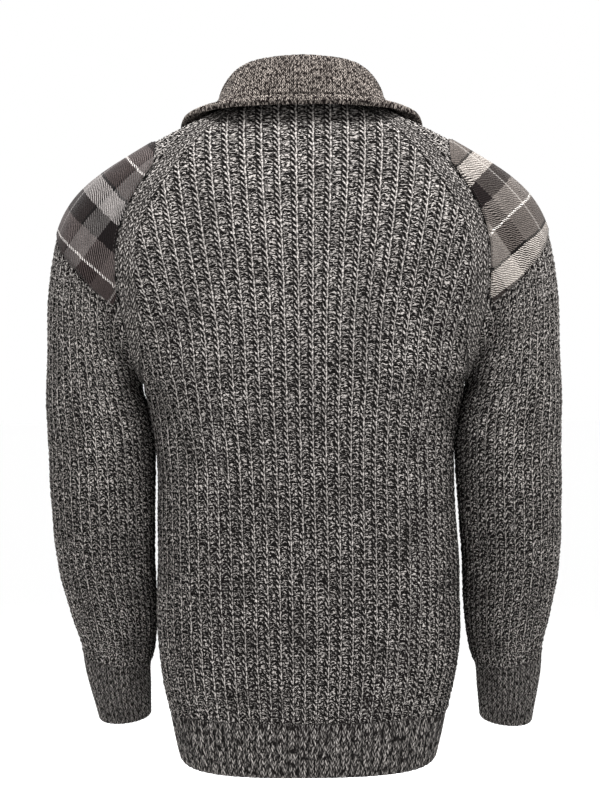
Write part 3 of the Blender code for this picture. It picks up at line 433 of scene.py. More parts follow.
def sleeve_columns(columns, levels):
    """Curves up the left sleeve: 0 is the cuff seam, 1 the biceps and 2 the armhole loop."""
    turn = columns / SLEEVE_RIBS
    low = CUFF_SEAM_Z + (BICEPS_Z - CUFF_SEAM_Z) * np.minimum(levels, 1)
    rings = sleeve_ring(low[None, :] + 0 * turn[:, None], turn[:, None] + 0 * low[None, :])
    first = sleeve_ring(np.full(len(turn), BICEPS_Z), turn)
    last = armhole(columns)[0]
    # The middle points are averaged over some ribs, so that no crease runs from the neck's corners
    second = 0
    third = 0
    for away, weight in zip(np.arange(-3, 3.5, 0.5), CAP_WEIGHTS):
        near = cap_controls(columns + away)
        second = second + weight * near[0]
        third = third + weight * near[1]
    t = np.maximum(levels - 1, 0)[None, :, None]
    nodes = [p[:, None, :] for p in (first, second, third, last)]
    weights = ((1 - t) ** 3, 3 * t * (1 - t) ** 2, 3 * t * t * (1 - t), t**3)
    cap = sum(w * p for w, p in zip(weights, nodes))
    return np.where(levels[None, :, None] > 1, cap, rings)


def hang(points, hand):
    """The left sleeve's points moved to where one sleeve hangs."""
    mirror, out, down = HANG[hand]
    share = np.clip((BICEPS_Z - points[..., 2]) / (BICEPS_Z - CUFF_EDGE_Z), 0, 1.2) ** 1.5
    moved = points + share[..., None] * np.array([out, 0, -down])
    return moved * np.array([mirror, 1, 1])


def normals(points, closed=False):
    """Unit normals of a grid of points, by the way its columns and levels run."""
    if closed:
        across = np.roll(points, -1, axis=0) - np.roll(points, 1, axis=0)
    else:
        across = np.gradient(points, axis=0)
    return unit(np.cross(across, np.gradient(points, axis=1)))


def seam_frames(side, z):
    """Points of a raglan seam, the way across it to the torso, the way out and the sleeve column."""
    x, y = seam_xy(side, z)
    points = np.stack([x, side * y, z], axis=-1)
    line, length = seam_line(side)
    s = np.interp(z, line[:, 2], length)
    along = unit(along_line(line, length, s + NEAR / 3) - along_line(line, length, s - NEAR / 3))
    below = torso_point(side, seam_ribs(side, z), z - NEAR)
    x, y, lengths = half_section(side, z)
    inner = lengths[..., -1] - NEAR
    inside = np.stack([at_length(x, lengths, inner), side * at_length(y, lengths, inner), z], axis=-1)
    torso_way = unit(unit(below - points) + unit(inside - points))
    on_seam = SLEEVE_RIBS / 2 - SLEEVE_NECK_RIBS / 2
    column = s / length[-1] * on_seam
    if side < 0:
        column = SLEEVE_RIBS - column
    near = sleeve_columns(column, np.array([1.9]))[:, 0]
    sleeve_way = unit(near - points)
    across = torso_way - sleeve_way
    across = unit(across - along * (across * along).sum(-1, keepdims=True))
    out = np.cross(across, along) * side
    return points, across, unit(out), column


def plane_normals(points):
    """The way out from the neck within its plane, at points of the neck seam."""
    plane = unit(np.array([0, -NECK_SLOPE, 1.0]))
    middle = np.array([0, -0.010, neck_z(-0.010)])
    away = points - middle
    return unit(away - plane * (away @ plane)[:, None])


def onto_neck(points, lift):
    """Points moved straight up or down to lie lift above the neck plane."""
    points = np.array(points)
    points[..., 2] = neck_z(points[..., 1]) + lift * math.hypot(1, NECK_SLOPE)
    return points


def outward(points):
    """Unit normals of a grid of points on the torso, turned away from its middle."""
    way = normals(points)
    return way * np.sign((way * points * [1, 1, 0]).sum(-1, keepdims=True))


def under_patch(points, columns, margin=0.0):
    """Whether the shoulder patch lies over points of the left sleeve. The margin is added below it."""
    edge = PATCH_LOW_Z - margin - PATCH_FALL * np.hypot(columns - SLEEVE_RIBS / 2, 1)[:, None]
    return (points[..., 2] > edge) & (points[..., 0] > PATCH_TOP_X)


def patch_spans():
    """Fine columns of the sleeve head, their lengths, and where the patch starts and ends on each."""
    levels = np.linspace(1, 2, 400)
    columns = np.arange(PATCH_FIRST_RIB, SLEEVE_RIBS - PATCH_FIRST_RIB, 0.1)
    curves = sleeve_columns(columns, levels)
    steps = np.linalg.norm(np.diff(curves, axis=1), axis=-1)
    length = np.concatenate([np.zeros((len(columns), 1)), np.cumsum(steps, axis=1)], axis=1)
    spans = np.zeros((len(columns), 2))
    for i, covered in enumerate(under_patch(curves, columns)):
        inside = np.flatnonzero(covered)
        if len(inside) > 1:
            spans[i] = length[i, inside[0]], min(length[i, inside[-1]], length[i, -1] - PATCH_MARGIN)
    return curves, length, spans


def neck_loop(angle):
    """A point of the neck seam and the level way out from it, by the angle from the centre back."""
    back = torso_point(1, np.array([1e-6]), column_tops(1, np.array([0.0])))[0, 1]
    front = -torso_point(-1, np.array([1e-6]), column_tops(-1, np.array([0.0])))[0, 1]
    depth = np.where(np.cos(angle) > 0, back, front)
    power = np.where(np.cos(angle) > 0, 2 / 2.6, 2 / 2.2)
    x = NECK_SIDE_X * np.sign(np.sin(angle)) * np.abs(np.sin(angle)) ** power
    y = depth * np.sign(np.cos(angle)) * np.abs(np.cos(angle)) ** power
    return np.stack([x, y, neck_z(y)], axis=-1)


def slit_half(z):
    """Half of the slit's width: even up to the slider, then spread towards the neck."""
    return SLIT_HALF + (NECK_SPREAD - SLIT_HALF) * np.maximum(z - SLIDER_Z, 0) / (neck_z(-0.085) - SLIDER_Z)


def slit_face(x, z):
    """The inner face of the front panel beside its centre line, at each x and z."""
    inside = torso_columns(-1, SLIT_FACE_RIBS, SLIT_FACE_LEVELS)
    top = torso_columns(-1, SLIT_FACE_RIBS, np.array([2.0]))[:, 0]
    edge = onto_neck(top - plane_normals(top) * WALL, -SEAM_GAP)
    lining = np.concatenate([inside - outward(inside) * WALL, edge[:, None]], axis=1)
    centre, beside = (along_line(line, line[:, 2], z) for line in lining)
    share = ((x - centre[:, 0]) / (beside[:, 0] - centre[:, 0]))[:, None]
    return centre * (1 - share) + beside * share


# ---------------------------------------------------------------- settings


class KnitSettings(bpy.types.PropertyGroup):
    """The deep rib knit of the body and the sleeves."""

    stitch: FloatProperty(
        name="Stitch length",
        description="Height of one long rib stitch",
        default=0.0066,
        unit="LENGTH",
    )
    leg_height: FloatProperty(
        name="Stitch relief",
        description="How far a stitch stands out of its rib",
        default=0.0011,
        unit="LENGTH",
    )
    light_yarn: FloatVectorProperty(
        name="Light yarn",
        description="Paler ply of the marled wool",
        default=(0.42, 0.392, 0.371),
        subtype="COLOR",
        size=3,
    )
    dark_yarn: FloatVectorProperty(
        name="Dark yarn",
        description="Darker ply of the marled wool",
        default=(0.0105, 0.009, 0.0085),
        subtype="COLOR",
        size=3,
    )
    creases: FloatProperty(
        name="Creases",
        description="Strength of the soft folds",
        default=1.0,
        subtype="FACTOR",
        min=0,
        max=2,
    )


class TrimSettings(bpy.types.PropertyGroup):
    """Collar, patches and zip."""

    collar_light: FloatVectorProperty(
        name="Collar light yarn",
        description="Paler ply of the collar",
        default=(0.36, 0.315, 0.282),
        subtype="COLOR",
        size=3,
    )
    collar_dark: FloatVectorProperty(
        name="Collar dark yarn",
        description="Darker ply of the collar",
        default=(0.014, 0.010, 0.009),
        subtype="COLOR",
        size=3,
    )
    sett: FloatProperty(
        name="Tartan repeat",
        description="Width of one repeat of the tartan",
        default=0.104,
        unit="LENGTH",
    )
    twill: FloatProperty(
        name="Twill pitch",
        description="Distance between twill lines",
        default=0.0023,
        unit="LENGTH",
    )
    tooth_pitch: FloatProperty(
        name="Zip tooth pitch",
        description="Distance between teeth on one tape",
        default=0.0026,
        unit="LENGTH",
    )


class StageSettings(bpy.types.PropertyGroup):
    """Floor, lights and camera."""

    floor: FloatVectorProperty(
        name="Floor",
        description="Colour of the plain floor",
        default=(0.995, 0.995, 0.995),
        subtype="COLOR",
        size=3,
    )
    key: FloatProperty(
        name="Key light",
        description="Power of the main soft light",
        default=34.0,
        unit="POWER",
    )
    distance: FloatProperty(
        name="Camera distance",
        description="From the centre line to the camera",
        default=2.1,
        unit="LENGTH",
    )


def knit():
    return bpy.context.scene.pullover_knit


def trim():
    return bpy.context.scene.pullover_trim


# ---------------------------------------------------------------- shader maths


class Value:
    """A node's output that takes part in Python expressions."""

    def __init__(self, graph, socket):
        self.graph = graph
        self.socket = socket

    def math(self, operation, *others):
        values = dict(enumerate((self, *others)))
        return self.graph.add("ShaderNodeMath", {"operation": operation}, values)

    def swapped(self, operation, other):
        return self.graph.add("ShaderNodeMath", {"operation": operation}, {0: other, 1: self})

    def __add__(self, other):
        return self.math("ADD", other)

    def __sub__(self, other):
        return self.math("SUBTRACT", other)

    def __mul__(self, other):
        return self.math("MULTIPLY", other)

    def __truediv__(self, other):
        return self.math("DIVIDE", other)

    def __pow__(self, other):
        return self.math("POWER", other)

    def __radd__(self, other):
        return self.swapped("ADD", other)

    def __rsub__(self, other):
        return self.swapped("SUBTRACT", other)

    def __rmul__(self, other):
        return self.swapped("MULTIPLY", other)

    def __rtruediv__(self, other):
        return self.swapped("DIVIDE", other)

    def fract(self):
        return self.math("FRACT")

    def wave(self):
        """A cosine that is 1 at whole numbers and 0 half way between them."""
        return (self * (2 * math.pi)).math("COSINE") * 0.5 + 0.5

    def largest(self, other):
        return self.math("MAXIMUM", other)

    def step(self, low, high):
        """0 below low, 1 above high and smooth between. high below low turns it round."""
        flip = high < low
        given = {"Value": self, "From Min": min(low, high), "From Max": max(low, high)}
        given["To Min"] = 1.0 if flip else 0.0
        given["To Max"] = 0.0 if flip else 1.0
        return self.graph.add("ShaderNodeMapRange", {"interpolation_type": "SMOOTHSTEP"}, given)


class Finish:
    """A material, its shader and the nodes that feed it."""

    def __init__(self, name, **constants):
        self.material = bpy.data.materials.new(name)
        self.material.use_nodes = True
        self.tree = self.material.node_tree
        self.shader = self.tree.nodes["Principled BSDF"]
        for key, value in constants.items():
            self.shader.inputs[key.replace("_", " ")].default_value = value

    def add(self, kind, settings=None, inputs=None, out=0):
        node = self.tree.nodes.new(kind)
        for key, value in (settings or {}).items():
            if key == "stops":
                self.set_stops(node.color_ramp, value)
            else:
                setattr(node, key, value)
        for key, value in (inputs or {}).items():
            if isinstance(value, Value):
                self.tree.links.new(value.socket, node.inputs[key])
            else:
                node.inputs[key].default_value = value
        return Value(self, node.outputs[out])

    @staticmethod
    def set_stops(ramp, stops):
        ramp.interpolation = "CONSTANT" if len(stops[0]) == 3 else "LINEAR"
        while len(ramp.elements) < len(stops):
            ramp.elements.new(0.5)
        for element, stop in zip(ramp.elements, stops):
            element.position = stop[0]
            element.color = (*stop[1], 1)

    def place(self, name="cloth"):
        """u and v on the cloth."""
        split = self.add("ShaderNodeUVMap", {"uv_map": name})
        parts = self.add("ShaderNodeSeparateXYZ", inputs={0: split})
        node = parts.socket.node
        return Value(self, node.outputs[0]), Value(self, node.outputs[1])

    def vector(self, x, y, z=0.0):
        return self.add("ShaderNodeCombineXYZ", inputs={0: x, 1: y, 2: z})

    def noise(self, at, scale, detail=2.0, roughness=0.5):
        given = {"Vector": at, "Scale": scale, "Detail": detail, "Roughness": roughness}
        return self.add("ShaderNodeTexNoise", inputs=given)

    def mix(self, share, first, second, blend="MIX"):
        """Colours mixed by a share."""
        first, second = ((*c, 1) if isinstance(c, tuple) and len(c) == 3 else c for c in (first, second))
        settings = {"data_type": "RGBA", "blend_type": blend}
        return self.add("ShaderNodeMix", settings, {0: share, 6: first, 7: second}, out=2)

    def end(self, color=None, roughness=None, height=None, depth=0.001):
        link = self.tree.links.new
        if color is not None:
            link(color.socket, self.shader.inputs["Base Color"])
        if roughness is not None:
            link(roughness.socket, self.shader.inputs["Roughness"])
        if height is not None:
            bump = self.add("ShaderNodeBump", inputs={"Height": height, "Distance": depth, "Strength": 1.0})
            link(bump.socket, self.shader.inputs["Normal"])
        return self.material


def marl(finish, u, v, light, dark, strand, gap_shade, fine=(4.4, 2.6), painted_light=0.0):
    """Colour of plied yarn: fine flecks along each strand, and uneven shades over the garment. Where strand
    is low, between the strands, the dark ply is darkened further into painted shade, and the last share adds
    painted light that makes the yarn paler.
    """
    at = finish.vector(u * fine[0], v * fine[1])
    flecks = finish.noise(at, 1.0, 2.0, 0.6).step(0.42, 0.57)
    patch = finish.noise(finish.vector(u * 0.30, v * 0.16, 3.7), 1.0, 3.0, 0.65).step(0.28, 0.72)
    yarn = finish.mix(flecks * (patch * 0.45 + 0.55) + painted_light, tuple(dark), tuple(light))
    return finish.mix(strand, tuple(c * gap_shade for c in dark), yarn)


def rib_finish(name, light, dark, deep=0.001, gap_shade=0.3):
    """The deep rib: slanting legs, one upright line of stitches, and a ladder of bars in the trough."""
    finish = Finish(name, Roughness=1.0, Specular_IOR_Level=0.06)
    u, v = finish.place()
    uneven = finish.noise(finish.vector(u * 1.9, v * 1.5, 9.1), 1.0, 2.0, 0.6) - 0.5
    f = u.fract()
    straight = v
    v = v + uneven * 0.9
    line_away = (f - 0.66 - uneven * 0.2 - (v.wave() - 0.5) * 0.03).math("ABSOLUTE")
    line = line_away.step(0.085, 0.02) * ((v + 0.25).wave() * 0.4 + 0.6)
    leg_in = (f - 0.47 - uneven * 0.12).math("ABSOLUTE").step(0.15, 0.07)
    leg = (v + (f - 0.48) * 2.8).wave().step(0.40, 0.90) * leg_in
    trough = (f + 0.47).fract() - 0.5
    bar_in = trough.math("ABSOLUTE").step(0.31, 0.20)
    bar = (v * 1.9 + trough * trough * 5.0 + uneven * 2.2).wave().step(0.30, 0.88) * bar_in
    strand = line.largest(leg * 0.9).largest(bar * 0.85)
    # Painted light and shade: the yarn turns paler with each stitch up from the hem or cuff seam and darker
    # near it, as light from above makes it
    painted_top_light = straight.step(8.0, 92.0) * 0.18 - 0.05
    # Painted highlight: the upright line of stitches, the rib's raised strand, is made paler
    color = marl(finish, u, straight, light, dark, strand, gap_shade, painted_light=line * 0.15 + painted_top_light)
    return finish.end(color, None, strand, deep)


def vee_finish(name, light, dark, deep=0.0008, fine=(4.4, 2.6), gap_shade=0.35, trough=0.0):
    """Plain knit: each column is a row of V stitches, with painted shade between them. A trough paints shade
    into every second gap between columns.
    """
    finish = Finish(name, Roughness=1.0, Specular_IOR_Level=0.06)
    u, v = finish.place()
    uneven = finish.noise(finish.vector(u * 1.1, v * 1.1, 2.3), 1.0, 2.0, 0.6) - 0.5
    middle = (u.fract() - 0.5 + uneven * 0.25).math("ABSOLUTE")
    inside = middle.step(0.50, 0.34) * (middle.step(0.02, 0.10) * 0.5 + 0.5)
    leg = (v - middle * 2.4 + uneven * 0.9).wave().step(0.2, 0.75)
    strand = leg * inside * 0.9 + 0.1
    if trough:
        strand = strand * (1 - (u * 0.5).wave() * trough)
    color = marl(finish, u, v, light, dark, strand, gap_shade, fine)
    return finish.end(color, None, strand, deep)


# ---------------------------------------------------------------- relief and creases


def rib_relief(u, v, height):
    """Height of the deep rib above the foot of its ribs. u runs to the right as seen from outside."""
    waves = ((0.18, 2.3, 1.9, 0.0), (0.14, 5.1, -3.3, 1.0), (0.1, 9.7, 0.7, 0.0))
    uneven = sum(size * np.sin(a * u + b * v + start) for size, a, b, start in waves)
    f = u % 1
    v = v + uneven
    crest = 0.5 - 0.5 * np.cos(2 * math.pi * f)
    turn = 2 * math.pi
    line = np.exp(-(((f - 0.67 - 0.08 * uneven) / 0.07) ** 2)) * (0.75 + 0.25 * np.cos(turn * (v + 0.25)))
    leg = np.exp(-(((f - 0.45) / 0.15) ** 4)) * (0.5 + 0.5 * np.cos(turn * (v + (f - 0.45) * 3.2)))
    trough = (f + 0.5) % 1 - 0.5
    bar = np.exp(-((trough / 0.24) ** 4)) * (0.5 + 0.5 * np.cos(turn * (2 * v + trough**2 * 5)))
    return crest * RIB_HEIGHT * (1 + 0.25 * uneven) + height * (np.maximum(line, leg) + 0.6 * bar - 0.35)


def vee_relief(u, v, height):
    """Height of plain V stitches."""
    f = np.abs(u % 1 - 0.5)
    uneven = 0.1 * np.sin(3.1 * u + 2.1 * v) + 0.08 * np.sin(5.3 * v - 1.7 * u)
    leg = 0.5 + 0.5 * np.cos(2 * math.pi * (v - 2.4 * f + uneven))
    return height * (1 - (2 * f) ** 4) * (0.55 + 0.45 * leg)


def segment_distance(points, start, end):
    start = np.array(start)
    way = np.array(end) - start
    share = np.clip(((points - start) @ way) / (way @ way), 0, 1)
    return np.linalg.norm(points - start - share[..., None] * way, axis=-1), share


def creased(points, out, folds):
    """Points moved along their normals into soft troughs and ridges, and a little unevenly all over."""
    x, y, z = points[..., 0], points[..., 1], points[..., 2]
    broad = np.sin(31 * x + 17 * z + 1.3) * np.sin(23 * z - 19 * y + 0.4)
    narrow = 0.6 * np.sin(67 * z + 29 * x + 11 * y)
    move = 0.0006 * (broad + narrow)
    for start, end, width, depth in folds:
        away, share = segment_distance(points, start, end)
        move = move - depth * np.exp(-((away / width) ** 2)) * np.sin(math.pi * (0.15 + 0.7 * share)) ** 0.8
    return points + out * (move * knit().creases)[..., None]


# ---------------------------------------------------------------- walls


class Wall:
    """Collects points with their places on the cloth, and the faces between them, and builds one piece."""

    def __init__(self):
        self.points = []
        self.places = []
        self.count = 0
        self.faces = []
        self.kinds = []
        self.wraps = []

    def add(self, points, places):
        points = np.asarray(points, float)
        self.points.append(points.reshape(-1, 3))
        self.places.append(np.asarray(places, float).reshape(-1, 2))
        index = self.count + np.arange(len(self.points[-1])).reshape(points.shape[:-1])
        self.count += len(self.points[-1])
        return index

    def quads(self, index, kind=0, wrap=0.0):
        """Faces of a grid. A wrap joins its last column to the first, where u has grown by so much."""
        if wrap:
            index = np.concatenate([index, index[:1]])
        a, b = index[:-1], index[1:]
        faces = np.stack([a[:, :-1], b[:, :-1], b[:, 1:], a[:, 1:]], axis=-1)
        shift = np.zeros(faces.shape)
        if wrap:
            shift[-1, :, 1:3] = wrap
        faces = faces.reshape(-1, 4)
        self.faces.append(faces)
        self.wraps.append(shift.reshape(-1, 4))
        self.kinds.append(np.broadcast_to(kind, shift.shape[:2]).ravel())

    def bridge(self, first, second, kind=0):
        """Triangles between two rows of points that may differ in number."""
        every = np.concatenate(self.points)
        places = []
        for row in (first, second):
            line = every[np.asarray(row)]
            length = np.concatenate([[0], np.cumsum(np.linalg.norm(np.diff(line, axis=0), axis=1))])
            places.append(length / max(length[-1], 1e-12))
        faces = []
        i = j = 0
        while i < len(first) - 1 or j < len(second) - 1:
            next_i = places[0][i + 1] if i < len(first) - 1 else 9.0
            next_j = places[1][j + 1] if j < len(second) - 1 else 9.0
            if next_i <= next_j:
                faces.append((first[i], first[i + 1], second[j], second[j]))
                i += 1
            else:
                faces.append((first[i], second[j + 1], second[j], second[j]))
                j += 1
        self.faces.append(np.array(faces))
        self.wraps.append(np.zeros((len(faces), 4)))
        self.kinds.append(np.full(len(faces), kind))

    def sheet(self, near, far, places, across=4, along=4, kind=0):
        """A fine outer face and a coarser inner one, joined all round."""
        near = self.add(near, places)
        far = self.add(far[::across, ::along], places[::across, ::along])
        self.quads(near, kind)
        self.quads(far[:, ::-1])
        for end in (0, -1):
            self.bridge(list(near[end]), list(far[end]))
            self.bridge(list(near[:, end]), list(far[:, end]))

    def build(self, name, materials, weld=0.0):
        points = np.concatenate(self.points)
        places = np.concatenate(self.places)
        faces = []
        corners = []
        kinds = []
        every = zip(np.concatenate(self.faces), np.concatenate(self.wraps), np.concatenate(self.kinds))
        for face, wrap, kind in every:
            keep = [k for k in range(4) if face[k] != face[k - 1]]
            if len(keep) > 2:
                faces.append(tuple(int(face[k]) for k in keep))
                corners.extend((face[k], wrap[k]) for k in keep)
                kinds.append(int(kind))
        mesh = bpy.data.meshes.new(name)
        mesh.from_pydata(points.tolist(), [], faces)
        corners = np.array(corners)
        spots = places[corners[:, 0].astype(int)]
        spots[:, 0] += corners[:, 1]
        layer = mesh.uv_layers.new(name="cloth")
        layer.data.foreach_set("uv", spots.astype(np.float32).ravel())
        mesh.polygons.foreach_set("material_index", np.array(kinds, dtype=np.int32))
        work = bmesh.new()
        work.from_mesh(mesh)
        if weld:
            bmesh.ops.remove_doubles(work, verts=work.verts[:], dist=weld)
        loose = [v for v in work.verts if not v.link_faces]
        bmesh.ops.delete(work, geom=loose, context="VERTS")
        bmesh.ops.recalc_face_normals(work, faces=work.faces[:])
        work.to_mesh(mesh)
        work.free()
        mesh.shade_smooth()
        obj = bpy.data.objects.new(name, mesh)
        bpy.context.scene.collection.objects.link(obj)
        for material in materials:
            mesh.materials.append(material)
        return obj


def lengths_along(curves):
    steps = np.linalg.norm(np.diff(curves, axis=1), axis=-1)
    return np.concatenate([np.zeros((len(curves), 1)), np.cumsum(steps, axis=1)], axis=1)


def courses(curves, ways, ends, step):
    """Points, normals and lengths at even steps up each curve to its end, and an index grid held there."""
    length = lengths_along(curves)
    last = np.maximum(np.floor(ends / step - 0.2).astype(int) + 1, 1)
    rows = np.arange(last.max() + 1)
    at = np.minimum(rows * step, ends[:, None])
    at = np.where(rows >= last[:, None], ends[:, None], at)
    points = np.stack([along_line(c, n, s) for c, n, s in zip(curves, length, at)])
    out = unit(np.stack([along_line(w, n, s) for w, n, s in zip(ways, length, at)]))
    held = np.minimum(rows, last[:, None])
    return points, out, at, held, last


def held_grid(index, held):
    return np.take_along_axis(index, held, axis=1)


# ---------------------------------------------------------------- sewing


def sewing(name, lines, material, pitch=0.0042, length=0.0030, radius=0.00032):
    """Short stitches of thread along lines on the cloth, each line given with its normals."""
    wall = Wall()
    along = np.linspace(0, 1, 6)
    turn = np.linspace(0, 2 * math.pi, 7)[:-1]
    for line, out in lines:
        place = np.concatenate([[0], np.cumsum(np.linalg.norm(np.diff(line, axis=0), axis=1))])
        for start in np.arange(0.001, place[-1] - length, pitch):
            at = start + length * along
            centre = along_line(line, place, at)
            up = unit(along_line(out, place, at))
            across = unit(np.cross(up, np.gradient(centre, axis=0)))
            centre = centre + up * (radius * 1.6 * np.sin(math.pi * along) - radius * 0.6)[:, None]
            thick = radius * (0.35 + 0.65 * np.sin(math.pi * along))[:, None]
            rings = [centre + thick * (math.cos(a) * across + math.sin(a) * up) for a in turn]
            places = np.stack(np.meshgrid(turn / 6.3, at / 0.004, indexing="ij"), axis=-1)
            wall.quads(wall.add(np.array(rings), places), wrap=1.0)
    obj = wall.build(name, [material])
    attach(obj, "garment")
    return obj


def thread_finish(name):
    finish = Finish(name, Roughness=0.7, Specular_IOR_Level=0.2)
    x, y = finish.place()
    ply = (x * 2 + y * 3).wave()
    # Painted shade: the grooves between the plies are darker than their crowns
    return finish.end(finish.mix(ply, (0.010, 0.009, 0.009), (0.050, 0.045, 0.042)), None, ply, 0.0001)


# ---------------------------------------------------------------- front and back


RIB_CELLS = 7  # columns of the mesh in one rib
ROWS_PER_STITCH = 4
FASHION_WIDTH = 0.021  # three plain columns run along each raglan seam
FASHION_COLUMNS = 3
FASHION_STARTS = 0.050
FASHION_LIFT = 0.0013
TORSO_FOLDS = {
    1: (
        ((0.165, 0.060, -0.285), (0.095, 0.118, -0.400), 0.016, 0.0030),
        ((-0.165, 0.060, -0.285), (-0.100, 0.118, -0.385), 0.015, 0.0028),
        ((0.150, 0.050, -0.480), (0.080, 0.112, -0.560), 0.020, 0.0018),
        ((-0.150, 0.050, -0.500), (-0.070, 0.112, -0.575), 0.020, 0.0018),
        ((0.060, 0.120, -0.060), (0.090, 0.128, -0.230), 0.020, 0.0016),
        ((-0.060, 0.120, -0.060), (-0.095, 0.128, -0.220), 0.020, 0.0016),
    ),
    -1: (
        ((0.165, -0.060, -0.285), (0.095, -0.118, -0.400), 0.016, 0.0030),
        ((-0.165, -0.060, -0.285), (-0.100, -0.118, -0.390), 0.016, 0.0028),
        ((0.150, -0.050, -0.490), (0.080, -0.112, -0.570), 0.020, 0.0018),
        ((-0.150, -0.050, -0.480), (-0.070, -0.112, -0.560), 0.020, 0.0018),
    ),
}


def pushed(z, ribs):
    """How far the zip's slit pushes each rib line aside."""
    open_here = z > SLIT_BOTTOM_Z
    return np.where(open_here, slit_half(z) * (1 - ease(np.abs(ribs) / 5.0)), 0.0)


def half_curves(side, hand, ribs, levels):
    """Rib lines of half a panel, pushed aside by the slit in the front."""
    top = column_tops(side, ribs)[:, None]
    low = HEM_SEAM_Z + (WAIST_ROW_Z - HEM_SEAM_Z) * np.minimum(levels, 1)
    z = low + (top - WAIST_ROW_Z) * np.maximum(levels - 1, 0)
    numbers = np.repeat(ribs[:, None], len(levels), axis=1)
    push = pushed(z, numbers) if side < 0 else 0.0
    points = torso_point(side, hand * numbers, z, push, hand)
    points[:, -1, 2] = z[:, -1]
    return points


def onto_torso(side, points):
    """Points beside the torso moved onto its surface at their own height."""
    x, y, _ = half_section(side, points[:, 2])
    a = np.stack([x, side * y], axis=-1)
    start, way = a[:, :-1], np.diff(a, axis=1)
    share = ((points[:, None, :2] - start) * way).sum(-1) / np.maximum((way**2).sum(-1), 1e-15)
    spots = start + np.clip(share, 0, 1)[..., None] * way
    nearest = np.linalg.norm(spots - points[:, None, :2], axis=-1).argmin(axis=1)
    moved = points.copy()
    moved[:, :2] = spots[np.arange(len(points)), nearest]
    return moved


def fashioning(side):
    """The band of plain columns along the raglan seam: its points, normals, places and inner edge."""
    line, length = seam_line(side)
    stitch = knit().stitch
    s = np.linspace(0.004, length[-1], int(length[-1] / (stitch / ROWS_PER_STITCH)))
    z = np.interp(s, length, line[:, 2])
    points, across, out, _ = seam_frames(side, z)
    width = FASHION_WIDTH * ease(s / FASHION_STARTS + 0.15)
    share = np.linspace(0, 1, FASHION_COLUMNS * 6 + 1)
    grid = points[:, None] + across[:, None] * (SEAM_GAP + width[:, None] * share)[..., None]
    flat = onto_torso(side, grid.reshape(-1, 3))
    above = flat[:, 2] > neck_z(flat[:, 1])
    flat[above, 2] = neck_z(flat[above, 1]) - SEAM_GAP
    grid = flat.reshape(grid.shape)
    grid[:, 0] = points + across * SEAM_GAP
    normal = unit(np.cross(np.gradient(grid, axis=0), np.gradient(grid, axis=1)))
    normal *= np.sign((normal * out[:, None]).sum(-1, keepdims=True))
    normal[:, 0] = out
    u = np.broadcast_to(share * FASHION_COLUMNS, grid.shape[:2])
    v = np.broadcast_to((s / stitch)[:, None], grid.shape[:2])
    fade = np.minimum(1, 6 * share * (1 - share) + 0.35)
    lift = FASHION_LIFT * np.minimum(1, 8 * share)[None, :] + vee_relief(u, v, knit().leg_height * 1.1) * fade
    lift[:, 0] = 0
    return s, width, grid + normal * lift[..., None], np.stack([u, v], axis=-1)


